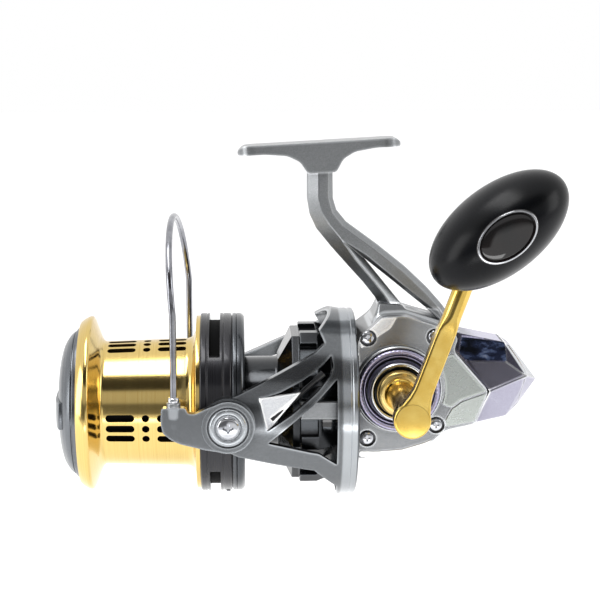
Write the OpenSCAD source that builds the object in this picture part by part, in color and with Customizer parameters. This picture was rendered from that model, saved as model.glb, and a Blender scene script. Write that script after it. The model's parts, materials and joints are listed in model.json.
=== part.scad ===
// Large surfcasting spinning reel, front drag, bail closed, crank on the left.
// Frame: X runs rearward along the spool axis, Z up to the rod, Y away from the crank side.
// The origin is the middle of the foot's seat, where it lies against the rod.

/* [Foot and stem] */
// Length of the foot
foot_l = 75; // [70:1:80]
// Width of the foot
foot_w = 16.5; // [15:0.5:18]
// Tilt of the foot against the spool axis, in degrees
foot_tilt = 3.2; // [1:0.1:4]
// Radius of the hollow that the rod lies in
saddle_r = 15; // [13:1:20]
// Width of the hollow between the two flat lands
saddle_w = 11; // [8:0.5:12]
// Half the thickness of the stem
stem_half = 6.8; // [6:0.1:8]
// Drop from the foot's seat to the spool axis
axis_drop = 121.8; // [121:0.2:123]

/* [Gearbox] */
// Distance of the crank axis behind the origin
crank_x = 35.5; // [35:0.1:36]
// Height of the crank axis above the spool axis
crank_up = 10.4; // [10.2:0.1:10.8]
// Distance of the gearbox split from the middle plane
split_y = 17; // [16.8:0.1:17.4]
// Outer face of the side cover, from the middle plane
cover_y = 22; // [21.5:0.1:22.5]
// Outer face of the far wall, from the middle plane
far_y = 19; // [19:0.1:20]
// Radius of the boss that the crank turns in
boss_r = 20.2; // [19.8:0.1:20.6]

/* [Spool] */
// Radius of the casting lip
lip_r = 40.5; // [40:0.1:40.8]
// Radius of the drum at its front
drum_r = 28.6; // [28.2:0.1:29]
// Growth of the drum's radius towards the rear
drum_cone = 1.2; // [0:0.1:1.6]
// Outer radius of the skirt
skirt_r = 41.5; // [41:0.1:41.6]
// Travel of the spool along its shaft
stroke = 34; // [30:1:34]
// Rows of holes in each group round the drum
hole_rows = 3; // [2:1:4]
// Groups of holes round the drum
hole_groups = 4; // [2:1:4]
// Width of a hole in the drum
hole_w = 3.4; // [2.5:0.1:3.6]

/* [Rotor and bail] */
// Outer radius of the rotor's rear ring
ring_r = 44; // [43.6:0.1:44.4]
// Inner radius of the rotor's arms
arm_in_r = 42.3; // [42.2:0.1:42.5]
// Outer radius of the rotor's arms
arm_out_r = 46.3; // [46:0.1:46.6]
// Distance of the bail's pivot in front of the origin
pivot_x = 42.1; // [42:0.1:43]
// Radius of the round end that holds the pivot
lobe_r = 11.6; // [11:0.1:12]
// Half the width of the bail
bail_half = 48.3; // [48:0.1:48.8]
// Height of the top of the bail wire above the spool axis
bail_top = 87; // [86:0.5:92]
// Radius of the bail wire
wire_r = 1.5; // [1.3:0.1:1.6]

/* [Crank and knob] */
// Distance from the crank axis to the knob's axis
throw = 88.8; // [80:0.2:95]
// Lean of the crank towards the rear, in degrees
crank_lean = 20.3; // [0:0.1:360]
// Outer face of the crank, from the middle plane
crank_y = 84; // [82:0.5:88]
// Thickness of the crank
crank_t = 8; // [6:0.5:9]
// Length of the knob
knob_l = 64.6; // [56:0.2:70]
// Width of the knob
knob_w = 35.4; // [30:0.2:40]
// Depth of the knob along its axis
knob_d = 42; // [40:1:44]
// Turn of the knob's long axis up from level, in degrees
knob_turn = 38; // [0:1:180]

/* [Gears] */
// Teeth of the drive gear
drive_teeth = 49; // [45:1:53]
// Teeth of the pinion
pinion_teeth = 12; // [10:1:14]
// Teeth of the gear on the worm shaft
worm_teeth = 17; // [15:1:18]

/* [Hidden] */

// Colours
grey_paint = "#7b7f82";
dark_grey = "#4a4d50";
silver = "#b5b3c3";
gold = "#dcb858";
graphite = "#2c2d30";
black = "#1b1d21";
chrome = "#d5d5dc";
steel = "#a9adb0";
brass = "#c09a4a";

// Shafts and running clearance
shaft_r = 3;
crank_shaft_r = 4;
sleeve_r = 6;
run = 0.05;
worm_y = 12.4;
worm_up = 1.2;
worm_r = 3;
guide_y = 8;
guide_up = 11;
guide_r = 1.6;
lever_x = 20.4;
lever_travel = 6;
slider_x = 44;
slider_t = 4.5;
slider_end = slider_x + slider_t + stroke + 0.4;

// Stations along the spool axis
knob_tip_x = -120.5;
recess_x = -106.3;
drum_front_x = -99;
drum_rear_x = -60.5;
flare_x = -58.6;
flange_x = -56.8;
bore_r = 26.5;
skirt_x = -54.8;
groove_x = -40.6;
ring_x = -40.2;
skirt_end_x = -34.6;
rotor_hub_x = -44;
cup_x = -19.2;
rotor_rear_x = 16.4;
case_x = 17;

// The gearbox seen from the side, as [x, height above the spool axis]
case_outline = [[17, -22], [37.5, -21.3], [45.9, -18.8], [52.9, -13.8], [57, -9.6], [71.5, -6.5],
    [77.2, 8.8], [60.7, 27.7], [63, 34], [57, 38], [39, 43.8], [28, 43.5], [24.2, 38.8], [17, 33.5]];
// The tail cover seen from the side
tail_outline = [[60, 34.5], [66.2, 32], [85.6, 29.2], [89.9, 26.5], [101.1, 11.7], [97, 9.4],
    [93, -0.3], [88.4, -5.1], [70, -9]];
inlay_outline = [[66, 31.9], [86.1, 29.2], [86.3, 21.2], [67.8, 22], [64.4, 25.2]];
cover_screws = [[21.5, 34], [21.5, -13], [53.2, -7], [52.1, 34.2]];

// The stem seen from the side, as [x, z]
stem_outline = [[-5.4, -4], [-5.4, -26], [-4.2, -33.4], [-1.2, -39.9], [5.5, -48.2], [12.9, -56.6],
    [20.6, -65.1], [26, -71.9], [28.1, -75.7], [27.9, -78.3], [24.2, -83], [24.2, -90], [60, -90],
    [62.6, -88.4], [57.7, -76.1], [50.6, -68.1], [40.2, -58.2], [26.7, -47.4], [12.8, -37.2],
    [8.2, -31.6], [6.5, -26.1], [6.2, -4]];
window_outline = [[20.6, -53.4], [39.8, -77.1], [56, -82]];

// One rotor arm seen from the side, as [x, height above the spool axis]
arm_outline = [[-46, 10], [-38, 12.6], [-27.9, 17.4], [-12.2, 25.1], [-3.6, 29.3], [1.5, 33.1],
    [-0.8, 37.9], [4.4, 42.7], [9.7, 50], [16.4, 50], [16.4, -50], [9, -50], [6.8, -33.4],
    [0.1, -26.8], [-3.7, -23], [-21.7, -19.3], [-37.8, -15.4], [-46, -11]];
arm_window_upper = [[-28.2, 11.2], [-19, 13.9], [-8.8, 18.9], [0.1, 24.8], [4.3, 28.6], [5, 24],
    [3.8, 20.6], [-2.1, 13.9], [-13.9, 4], [-24.8, -3.4]];
arm_window_lower = [[-24.6, -9], [-2.8, 9.5], [6.6, 19], [6.6, -20.8], [-1.7, -14.6]];
bail_arm_outline = [[-71.3, 9], [-71.6, 2], [-70.6, -2.4], [-67, -5.4], [-63.2, -7.2], [-52, -10],
    [-42.1, -11.6], [-42.1, 11], [-47, 10.4], [-51.6, 8.6], [-56.5, 6.2], [-59.8, 6.4], [-60.6, 9]];
bail_cam_outline = [[-66, 9], [-66, 2], [-56, -5], [-42.1, -10], [-42.1, 10], [-52, 8.6], [-57.4, 9]];

// Puts children on the spool axis
module on_axis() translate([0, 0, -axis_drop]) children();

// A ring or disc turned about the spool axis, from [x, radius] points
module turned(profile, smooth = 96)
    on_axis() rotate([0, 90, 0]) rotate_extrude($fn = smooth)
        polygon([for (p = profile) [p[1], p[0]]]);

// A plain tube about an axis parallel to X, at y and height up above the spool axis
module tube_x(x0, x1, r_out, r_in = 0, y = 0, up = 0, smooth = 48)
    on_axis() translate([x0, y, up]) rotate([0, 90, 0]) difference() {
        cylinder(r = r_out, h = x1 - x0, $fn = smooth);
        if (r_in > 0) translate([0, 0, -1]) cylinder(r = r_in, h = x1 - x0 + 2, $fn = 48);
    }

// A plain tube about an axis parallel to Y, at x and height up above the spool axis
module tube_y(y0, y1, r_out, r_in = 0, x = crank_x, up = crank_up, smooth = 48)
    on_axis() translate([x, y0, up]) rotate([-90, 0, 0]) difference() {
        cylinder(r = r_out, h = y1 - y0, $fn = smooth);
        if (r_in > 0) translate([0, 0, -1]) cylinder(r = r_in, h = y1 - y0 + 2, $fn = 48);
    }

// A disc turned about the crank axis, from [y, radius] points
module turned_y(profile, x = crank_x, up = crank_up, smooth = 72)
    on_axis() translate([x, 0, up]) rotate([-90, 0, 0]) rotate_extrude($fn = smooth)
        polygon([for (p = profile) [p[1], p[0]]]);

// A slab with a side outline, from y0 to y1
module slab(y0, y1)
    translate([0, y1, 0]) rotate([90, 0, 0]) linear_extrude(y1 - y0) children();

// The same on the spool axis, with heights counted from that axis
module slab_on_axis(y0, y1) on_axis() slab(y0, y1) children();

// A straight rod between two points
module rod(a, b, r) {
    d = b - a;
    translate(a) rotate([0, acos(d[2] / norm(d)), atan2(d[1], d[0])])
        cylinder(r = r, h = norm(d), $fn = 24);
}

// A flat wheel with straight-sided teeth
module toothed(teeth, root, tip)
    polygon([for (i = [0 : teeth - 1], s = [[0, root], [0.22, root], [0.34, tip], [0.66, tip], [0.78, root]])
        let (a = 360 * (i + s[0]) / teeth) [s[1] * cos(a), s[1] * sin(a)]]);

// A cross-head screw with its head's outer face at the origin, pointing along +Z
module cross_screw(head_r, head_h, stem_r, stem_l)
    difference() {
        union() {
            cylinder(r = head_r, h = head_h, $fn = 36);
            translate([0, 0, head_h]) cylinder(r = stem_r, h = stem_l, $fn = 24);
        }
        for (a = [0, 90]) rotate([0, 0, a])
            translate([-head_r * 0.55, -head_r * 0.11, -1])
                cube([head_r * 1.1, head_r * 0.22, 1 + head_h * 0.6]);
    }

// A coil drawn as touching rings along X or Y
module ring_stack(count, pitch, coil_r, coil_wire_r)
    for (i = [0 : count - 1]) translate([0, 0, i * pitch])
        rotate_extrude($fn = 36) translate([coil_r, 0]) circle(r = coil_wire_r, $fn = 16);

// ---- Body ----

module foot()
    rotate([0, -foot_tilt, 0]) difference() {
        intersection() {
            slab(-foot_w / 2, foot_w / 2) polygon([[-foot_l / 2, -4.2], [-foot_l / 2, -2.4],
                [-foot_l / 2 + 2.6, 0], [foot_l / 2 - 2.6, 0], [foot_l / 2, -2.4], [foot_l / 2, -4.2],
                [14, -6.4], [9.5, -8.6], [7, -14], [-6, -14], [-8.6, -8.6], [-13, -6.6]]);
            translate([0, 0, -20]) linear_extrude(30) union() {
                square([foot_l - foot_w, foot_w], center = true);
                for (side = [-1, 1]) translate([side * (foot_l - foot_w) / 2, 0])
                    circle(d = foot_w, $fn = 48);
            }
        }
        for (side = [-1, 1]) translate([side * (foot_l / 2 + 4), 0, 0])
            translate([-foot_l / 2, 0, sqrt(pow(saddle_r, 2) - pow(saddle_w / 2, 2))])
                rotate([0, 90, 0]) cylinder(r = saddle_r, h = foot_l, $fn = 96);
    }

module stem() {
    slab(-stem_half * 0.62, stem_half * 0.62) polygon(stem_outline);
    slab(-stem_half, stem_half) offset(delta = -2.1) polygon(stem_outline);
}

module gear_case() {
    slab_on_axis(-split_y, far_y - 1.5) polygon(case_outline);
    slab_on_axis(-split_y, far_y) offset(delta = -1.5) polygon(case_outline);
    hull() {
        slab_on_axis(-split_y + 1, far_y - 2) polygon([[22, 34], [60, 30], [60, 34], [26, 38]]);
        slab(-stem_half - 1.2, stem_half + 1.2) polygon([[27.5, -74], [27, -79], [56, -79], [55, -77]]);
    }
}

module body_frame() color(grey_paint) difference() {
    union() {
        foot();
        difference() {
            union() {
                stem();
                gear_case();
            }
            slab(-30, 30) polygon(window_outline);
            slab_on_axis(-split_y + 2.5, far_y - 2.5) offset(delta = -3) polygon(case_outline);
            slab_on_axis(-split_y - 5, -split_y + 2.6) offset(delta = -3) polygon(case_outline);
        }
        tube_x(-3, 13.6, 26.4);
        tube_x(13.5, 15.2, 34);
        slab_on_axis(-split_y + 0.5, far_y - 2) polygon([[15, -20], [case_x + 0.4, -20],
            [case_x + 0.4, 32], [15, 32]]);
        slab_on_axis(-7.1, far_y - 2) polygon([[27.6, -9], [31, -9], [31, 9.5], [27.6, 9.5]]);
        slab_on_axis(5, far_y - 2) polygon([[41, 7.5], [43.6, 7.5], [43.6, 15], [41, 15]]);
        slab_on_axis(-13, 18) polygon([[57, -4.4], [84.5, -4.4], [84.5, 7.5], [57, 7.5]]);
        slab_on_axis(-13, 13) polygon([[57, 7.4], [84.5, 7.4], [84.5, 16.5], [57, 16.5]]);
        tube_y(13, 17, 9.2);
        tube_y(16.6, far_y + 2, 11);
        for (s = cover_screws) tube_y(-split_y, far_y - 2, 3.4, 0, s[0], s[1]);
    }
    // Gear space: front pocket, middle, and the space that the slider runs in
    slab_on_axis(-split_y - 1, -6.9) polygon([[15.6, 0], [19, -8], [30, -12.5], [45, -11], [56, -2],
        [58, 10], [52, 27], [40, 32.5], [26, 31], [16.4, 20]]);
    tube_y(-split_y - 1, -6.9, 20.1, smooth = 72);
    slab_on_axis(-13.1, 16.2) polygon([[50, -4.5], [slider_end, -4.5], [slider_end, 6], [50, 6]]);
    slab_on_axis(-13.1, 11.6) polygon([[50, 5.9], [slider_end, 5.9], [slider_end, 15], [50, 15]]);
    tube_x(11.9, 22, 8.2, 0, worm_y, worm_up);
    tube_x(11.4, 27.6, 9);
    slab_on_axis(-7.2, 12) polygon([[19.9, -9], [27.6, -9], [27.6, 9], [19.9, 9]]);
    // Bores on the spool axis, from front to rear
    tube_x(-4, 4.6, 16);
    tube_x(4.5, 11, 12);
    tube_x(10.9, 12, 9);
    tube_x(27.5, 32, sleeve_r);
    // Bores on the worm and guide rod
    tube_x(10.9, 12, 1.5 + run, 0, worm_y, worm_up, 24);
    tube_x(82, 84, 1.5 + run, 0, worm_y, worm_up, 24);
    tube_x(27, 44, worm_r + 0.6, 0, worm_y, worm_up, 24);
    tube_x(40.9, 43.7, guide_r, 0, guide_y, guide_up, 24);
    tube_x(82, 84, guide_r, 0, guide_y, guide_up, 24);
    tube_x(40, 60, shaft_r + 1.5);
    // Bores on the crank axis
    tube_y(15.45, 19, 8);
    tube_y(-30, 15.5, 5.2);
    tube_y(18.9, 30, 9);
    for (s = cover_screws) tube_y(-split_y - 1, -4, 1.2, 0, s[0], s[1], 24);
    // Slot that the anti-reverse lever slides in
    slab_on_axis(-1.8 - lever_travel / 2, 1.8 + lever_travel / 2)
        polygon([[lever_x - 1.6, -24], [lever_x + 1.6, -24], [lever_x + 1.6, -18], [lever_x - 1.6, -18]]);
}

module side_cover() color(silver) difference() {
    union() {
        slab_on_axis(-cover_y + 1.2, -split_y) polygon(case_outline);
        slab_on_axis(-cover_y, -split_y) offset(delta = -1.4) polygon(case_outline);
        turned_y([[-split_y, 0], [-split_y, boss_r], [-24.6, boss_r], [-25.2, 19.6], [-25.2, 0]]);
    }
    slab_on_axis(-19.4, -split_y + 1) offset(delta = -3) polygon(case_outline);
    tube_y(-26, -16, 5.2);
    tube_y(-24, -19, 8);
    turned_y([[-26, 14.8], [-26, 16.4], [-24, 16.4], [-24, 14.8]]);
    for (s = cover_screws) {
        tube_y(-30, -20.4, 3.8, 0, s[0], s[1]);
        tube_y(-30, -15, 1.7, 0, s[0], s[1], 24);
    }
}

module side_cover_screws() color(chrome)
    for (s = cover_screws) on_axis() translate([s[0], -22.2, s[1]]) rotate([-90, 0, 0])
        cross_screw(2.9, 1.8, 1.2, 14);

// The faceted outer form of the tail, grown outwards by extra
module tail_form(extra = 0)
    hull() {
        slab_on_axis(-9 - extra, 9 + extra) polygon(tail_outline);
        slab_on_axis(-22.6 - extra, 22.6 + extra) polygon([[60, 10.5], [77.2, 9.8], [77.2, 7.8], [60, 8]]);
        slab_on_axis(-16.5 - extra, 16.5 + extra) polygon([[94.5, 15.6], [96, 14.4], [94, 13]]);
        slab_on_axis(-17 - extra, 17 + extra) polygon([[64, -6], [87, -2.4], [86, -4], [70, -7.6]]);
    }

// The two screws on the tail's far side follow its slope
rear_screw_x = 80;
function rear_screw_y(up) = 21.6 - up * 0.06;

module rear_cover() color(silver) difference() {
    tail_form();
    slab_on_axis(-40, 40) polygon([[40, 60], [62, 38], [63.4, 34], [61, 27.8], [77.5, 8.9],
        [71.8, -6.6], [60, -14], [40, -20]]);
    slab_on_axis(-13.2, 18.2) polygon([[50, -5.2], [84.7, -5.2], [84.7, 7.7], [50, 7.7]]);
    slab_on_axis(-13.2, 13.2) polygon([[50, 7], [84.7, 7], [84.7, 16.7], [50, 16.7]]);
    slab_on_axis(-8.5, 8.5) polygon([[50, 10], [84, 1], [90.5, 2], [94, 12], [87, 24], [84, 26], [50, 28]]);
    for (up = [4, 20]) {
        tube_y(16.5, 30, 1.25, 0, rear_screw_x, up, 24);
        tube_y(rear_screw_y(up) - 1.25, 30, 2.5, 0, rear_screw_x, up, 36);
    }
}

module rear_cover_inlays() color("#59648a") difference() {
    intersection() {
        tail_form(0.5);
        slab_on_axis(-40, 40) polygon(inlay_outline);
    }
    tail_form();
}

module rear_cover_screws() color(chrome)
    for (up = [4, 20]) on_axis() translate([rear_screw_x, rear_screw_y(up), up]) rotate([90, 0, 0])
        cross_screw(2.4, 1.2, 1.2, 2.1);

module trim_ring() color("#b9b6d0") turned_y([[-25.2, 16.6], [-25.2, 18.9], [-26.6, 18.9],
    [-27.4, 18.3], [-27.4, 17.4], [-26.8, 16.6]]);

module hub_collar() color(chrome) turned_y([[-25.2, 11.4], [-25.2, 14.4], [-27, 14.4], [-28, 13.8],
    [-30.2, 13.6], [-31, 13], [-31, 12.3], [-30.4, 11.4]]);

module crank_bearings() color(steel) for (y = [[-24, -19], [15.5, 18.9]])
    tube_y(y[0], y[1], 8, crank_shaft_r + 0.03);

module far_side_cap() color(grey_paint) difference() {
    turned_y([[19, 0], [19, 9], [21, 9], [21, 12.4], [22.6, 12.4], [23.8, 10.6], [24, 0]]);
    tube_y(18, 20.6, 6.4);
    translate([0, 0, crank_up - axis_drop]) translate([crank_x - 8, 23, -0.8]) cube([16, 2, 1.6]);
}

module pinion_bearings() color(steel) {
    tube_x(4.6, 11, 12, sleeve_r + 0.03);
    tube_x(27.6, 31, sleeve_r, shaft_r + 1.03);
}

module one_way_clutch() color(steel) tube_x(-3, 4.5, 16, 8.1);
module guide_rod() color(chrome) tube_x(41, 84, guide_r, 0, guide_y, guide_up, 24);

module anti_reverse_lever() color(black) on_axis() translate([lever_x, -lever_travel / 2, 0]) {
    slab(-3.4, 3.4) polygon([[-2, -24], [-1.4, -26.4], [1.4, -26.4], [2, -24], [2, -22.4], [-2, -22.4]]);
    slab(-1.6, 1.6) polygon([[-1.4, -22.6], [1.4, -22.6], [1.4, -20.2], [-1.4, -20.2]]);
}

// ---- Rotor ----

module arm_pair() for (side = [0, 1]) mirror([0, side, 0]) children();

module rotor() color(dark_grey) difference() {
    union() {
        turned([[rotor_hub_x, 18.4], [rotor_hub_x, 21], [cup_x, 21.2], [-12, 32.6], [9.2, 32.8],
            [9.2, 43.2], [10.4, ring_r], [15, ring_r], [rotor_rear_x, 42.6], [rotor_rear_x, 37.6],
            [12.2, 37.6], [12.2, 28.6], [-11.5, 28.6], [-15.6, 21.5], [-15.6, sleeve_r],
            [cup_x, sleeve_r], [cup_x, 18.4]]);
        arm_pair() {
            difference() {
                intersection() {
                    turned([[-48, arm_in_r], [-48, arm_out_r], [0, arm_out_r], [9.8, ring_r],
                        [rotor_rear_x - 1, ring_r], [rotor_rear_x - 1, arm_in_r]]);
                    slab_on_axis(-50, -12) polygon(arm_outline);
                }
                slab_on_axis(-60, -12) polygon(arm_window_upper);
                slab_on_axis(-60, -12) polygon(arm_window_lower);
            }
            tube_y(-47.4, -arm_in_r - 0.1, lobe_r + 0.5, 0, -pivot_x, 0, 72);
        }
    }
    arm_pair() {
        tube_y(-60, -30, 2.5, 0, -pivot_x, 0, 24);
        tube_y(-60, -44.8, 8.6, 4.2, -pivot_x, 0);
    }
    for (i = [0 : 7]) on_axis() rotate([22.5 + 45 * i, 0, 0]) translate([-10.4, -7.4, 24])
        cube([9.6, 14.8, 12]);
}

module pinion() color(brass) difference() {
    union() {
        tube_x(-19.2, 27, sleeve_r);
        tube_x(-25.6, -19.2, 5.2);
        tube_x(-3, 4.5, 8.05);
        tube_x(11.6, 17.5, 4.6);
        tube_x(26.9, 31, shaft_r + 1);
        on_axis() translate([12.6, 0, 0]) rotate([0, 90, 0]) linear_extrude(3.6)
            toothed(pinion_teeth, 4.3, 5.2);
        on_axis() translate([18.2, 0, 0]) rotate([0, 90, 0]) linear_extrude(8.6)
            toothed(pinion_teeth, 5.9, 7.1);
    }
    tube_x(11.5, 12.6, 20, 4.6);
    tube_x(16.2, 18.2, 20, 4.6);
    tube_x(12.5, 16.3, 20, 5.25);
    tube_x(-30, 40, shaft_r + run);
}

module rotor_nut() color(steel) on_axis() translate([-25.6, 0, 0]) rotate([0, 90, 0]) difference() {
    cylinder(r = 10.4, h = 6.4, $fn = 6);
    translate([0, 0, -1]) cylinder(r = 5.2, h = 9, $fn = 36);
}

module bail_pivot_screws() color(chrome) arm_pair() on_axis() translate([-pivot_x, -53.3, 0])
    rotate([-90, 0, 0]) cross_screw(4.8, 1.5, 2.5, 9.2);

module bail_pivot_washers() color(steel) arm_pair() tube_y(-51.8, -51.35, 5.5, 2.5, -pivot_x, 0);

module bail_spring() color(steel) on_axis() translate([-pivot_x, -46.5, 0]) rotate([-90, 0, 0])
    ring_stack(2, 1.05, 6.4, 0.6);

module balance_weight() color(brass) slab_on_axis(35.2, 37)
    polygon([[12.2, -6], [14.8, -6], [14.8, 6], [12.2, 6]]);

// The rod that throws the bail over, lying inside the arm's upper window
trip_a = [-23, -44, 1.6 - axis_drop];
trip_b = [0.4, -38.9, 21.4 - axis_drop];
module trip_rod() color(black) {
    rod(trip_a, trip_b, 1.1);
    rod(trip_b - 0.14 * (trip_b - trip_a), trip_b, 1.5);
}

// ---- Bail ----

module bail_arm() color(grey_paint) difference() {
    union() {
        slab_on_axis(-51, -47.6) polygon(bail_arm_outline);
        slab_on_axis(-52, -47.6) offset(delta = -1.2) polygon(bail_arm_outline);
        tube_y(-51.2, -47.6, lobe_r, 0, -pivot_x, 0, 72);
        tube_y(-52, -47.6, 9.4, 0, -pivot_x, 0, 72);
        on_axis() translate([-66, -bail_half, 6.4]) cylinder(r = 3.3, h = 4.6, $fn = 36);
    }
    tube_y(-60, -40, 2.5 + run, 0, -pivot_x, 0, 24);
    tube_y(-60, -51.25, 5.8, 0, -pivot_x, 0);
    tube_y(-52.6, -51.4, 9.2, 8.6, -pivot_x, 0);
    tube_y(-50.6, -40, 1.3, 0, -66, 0.6, 24);
    on_axis() translate([-66, -bail_half, 8]) cylinder(r = wire_r, h = 10, $fn = 24);
}

module bail_cam() color(grey_paint) difference() {
    union() {
        slab_on_axis(47.6, 51) polygon(bail_cam_outline);
        tube_y(47.6, 51, 10.6, 0, -pivot_x, 0, 72);
        on_axis() translate([-61.6, bail_half, 6.4]) cylinder(r = 3.3, h = 4.6, $fn = 36);
    }
    tube_y(40, 60, 2.5 + run, 0, -pivot_x, 0, 24);
    tube_y(50.4, 60, 5.8, 0, -pivot_x, 0);
    on_axis() translate([-61.6, bail_half, 8]) cylinder(r = wire_r, h = 10, $fn = 24);
}

// Middle line of the wire: two straight legs and half an ellipse, leaning a little forward
leg_up = 50;
bail_steps = 30;
function bail_x(a) = -63.8 - 2.2 * cos(a) - 3.4 * sin(a);
bail_path = concat([[-66, -bail_half, 8]],
    [for (i = [0 : bail_steps]) let (a = 180 * i / bail_steps)
        [bail_x(a), -bail_half * cos(a), leg_up + (bail_top - leg_up) * sin(a)]],
    [[-61.6, bail_half, 8]]);
wire_sides = 10;
function unit(v) = v / norm(v);
function along(p, i) = unit(p[min(i + 1, len(p) - 1)] - p[max(i - 1, 0)]);
function ring_at(p, i, r) = let (t = along(p, i), u = unit(cross(t, [1, 0, 0])), v = cross(t, u))
    [for (k = [0 : wire_sides - 1]) let (a = 360 * k / wire_sides) p[i] + r * (cos(a) * u + sin(a) * v)];

module bail_wire() color(chrome) on_axis() {
    n = len(bail_path);
    points = [for (i = [0 : n - 1]) each ring_at(bail_path, i, wire_r)];
    sides = [for (i = [0 : n - 2], k = [0 : wire_sides - 1])
        [i * wire_sides + k, i * wire_sides + (k + 1) % wire_sides,
            (i + 1) * wire_sides + (k + 1) % wire_sides, (i + 1) * wire_sides + k]];
    ends = [[for (k = [wire_sides - 1 : -1 : 0]) k],
        [for (k = [0 : wire_sides - 1]) (n - 1) * wire_sides + k]];
    polyhedron(points, concat(sides, ends));
}

module wire_collars() color(chrome) on_axis()
    for (c = [[-66, -bail_half], [-61.6, bail_half]]) translate([c[0], c[1], 11]) difference() {
        cylinder(r = 2.7, h = 2.2, $fn = 36);
        translate([0, 0, -1]) cylinder(r = wire_r + 0.15, h = 5, $fn = 24);
    }

module roller_bearing() color(steel) tube_y(-47.5, -43.4, 2.6, 1.3, -66, 0.6);
module line_roller() color(chrome) turned_y([[-47.3, 2.63], [-47.3, 5.2], [-46.4, 4.4], [-45.4, 4],
    [-44.4, 4.4], [-43.5, 5.2], [-43.5, 2.63]], -66, 0.6);
module roller_screw() color(chrome) on_axis() translate([-66, -42.35, 0.6]) rotate([90, 0, 0])
    cross_screw(3.2, 1, 1.3, 7.2);

// ---- Shaft, oscillation and drag stack ----

module main_shaft() color(chrome) tube_x(-112.8, slider_x + slider_t, shaft_r);

module slider_block() color(brass) difference() {
    union() {
        slab_on_axis(-4.4, 15.6) polygon([[slider_x, -4.2], [slider_x + slider_t, -4.2],
            [slider_x + slider_t, 5.2], [slider_x, 5.2]]);
        slab_on_axis(5, 11) polygon([[slider_x, 5], [slider_x + slider_t, 5],
            [slider_x + slider_t, 14.2], [slider_x, 14.2]]);
    }
    tube_x(slider_x - 1, slider_x + 9, shaft_r);
    tube_x(slider_x - 1, slider_x + 9, worm_r + 0.1, 0, worm_y, worm_up);
    tube_x(slider_x - 1, slider_x + 9, guide_r + run, 0, guide_y, guide_up, 24);
    tube_y(-5, -2.9, 1.2, 0, slider_x + slider_t / 2, 0, 24);
}

module slider_screw() color(steel) on_axis() translate([slider_x + slider_t / 2, -5.2, 0])
    rotate([-90, 0, 0]) cross_screw(1.9, 0.8, 1.2, 1.38);

module spool_washer() color(steel) tube_x(-65.4, -63.8, 11, shaft_r);

module drag_plates() color(steel) for (x = [-99.5, -102.1]) tube_x(x, x + 1.2, 15.6, shaft_r);

module worm_shaft() color(steel) difference() {
    union() {
        tube_x(17.5, 82, worm_r, 0, worm_y, worm_up);
        tube_x(11.15, 83.6, 1.5, 0, worm_y, worm_up, 24);
    }
    for (x = [46 : 4 : 80]) tube_x(x, x + 1.2, 5, 2.3, worm_y, worm_up);
}

module worm_gear() color(brass) on_axis() translate([12.6, worm_y, worm_up]) rotate([0, 90, 0])
    difference() {
        linear_extrude(3.6) toothed(worm_teeth, 6.1, 7.05);
        translate([0, 0, -1]) cylinder(r = 1.5, h = 6, $fn = 24);
    }

// ---- Spool ----

module drum_slot(x0, x1)
    on_axis() for (g = [0 : hole_groups - 1], row = [0 : hole_rows - 1])
        rotate([102 + 90 * g + 10 * (row - (hole_rows - 1) / 2), 0, 0]) translate([0, 0, -1])
            translate([0, 0, 24]) linear_extrude(10) union() {
                for (x = [x0 + hole_w / 2, x1 - hole_w / 2]) translate([x, 0]) circle(d = hole_w, $fn = 24);
                if (x1 - x0 > hole_w + 0.1) translate([x0 + hole_w / 2, -hole_w / 2])
                    square([x1 - x0 - hole_w, hole_w]);
            }

module spool_lip() color(gold) turned([[recess_x, 17], [recess_x, 37.2], [-109.8, 37.2],
    [-110.5, 37.9], [-108.6, 39.4], [-106.4, lip_r], [-105.2, lip_r], [-104.5, 39.8], [-101, 30.8],
    [-100, 29.2], [drum_front_x, drum_r], [drum_front_x, bore_r], [-103.2, bore_r], [-103.2, 17]], 120);

module spool_drum() color(gold) difference() {
    turned([[drum_front_x, bore_r], [drum_front_x, drum_r], [drum_rear_x, drum_r + drum_cone],
        [flare_x, drum_r + 2.2], [flare_x, bore_r]], 120);
    drum_slot(-97.6, -84.6);
    drum_slot(-81.2, -81.2 + hole_w);
    drum_slot(-74.4, -61.4);
}

module spool_flange() color(gold) turned([[flare_x, bore_r], [flare_x, drum_r + 2.2],
    [-57.4, drum_r + 4.2], [flange_x, drum_r + 7], [flange_x, 40.4], [skirt_x, 40.4],
    [skirt_x, 38.5], [-44.4, 38.5], [-44.4, 36.6], [-55.2, 36.6], [-55.2, bore_r]], 120);

module spool_hub() color(gold) turned([[-103.2, 17], [-103.2, 19.6], [-94, 19.6], [-94, 9.6],
    [-66, 9.6], [-66, 6.5], [-94.2, 6.5], [-94.2, 4], [-97, 4], [-97, 17]], 96);

module spool_skirt() color(graphite) difference() {
    turned([[skirt_x, 38.5], [skirt_x, skirt_r - 0.4], [skirt_x + 0.5, skirt_r], [-41.2, skirt_r],
        [groove_x, skirt_r - 0.5], [groove_x, 40.3], [ring_x, 40.3], [ring_x, 38.5]], 120);
    on_axis() translate([-50.6, -45, 27.4]) cube([4.8, 90, 20]);
    on_axis() translate([-50.6, -45, -45]) cube([4.8, 90, 20]);
}

module skirt_ring() color(dark_grey) turned([[ring_x, 38.5], [ring_x, skirt_r - 0.4],
    [ring_x + 0.4, skirt_r], [-36.4, skirt_r], [-35.2, skirt_r - 0.8], [skirt_end_x, 40],
    [skirt_end_x, 38.5]], 120);

module line_clip() color(chrome) on_axis() rotate([-15, 0, 0]) translate([-43.4, -3, -42.05])
    cube([2, 6, 0.5]);

module spool_bearings() color(steel) for (x = [-93.6, -70.8]) tube_x(x, x + 4.6, 6.5, shaft_r + 0.03);

module drag_discs() color(graphite) for (x = [-98.2, -100.8, -103.4]) tube_x(x, x + 1.2, 16.4, 6);

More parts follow.
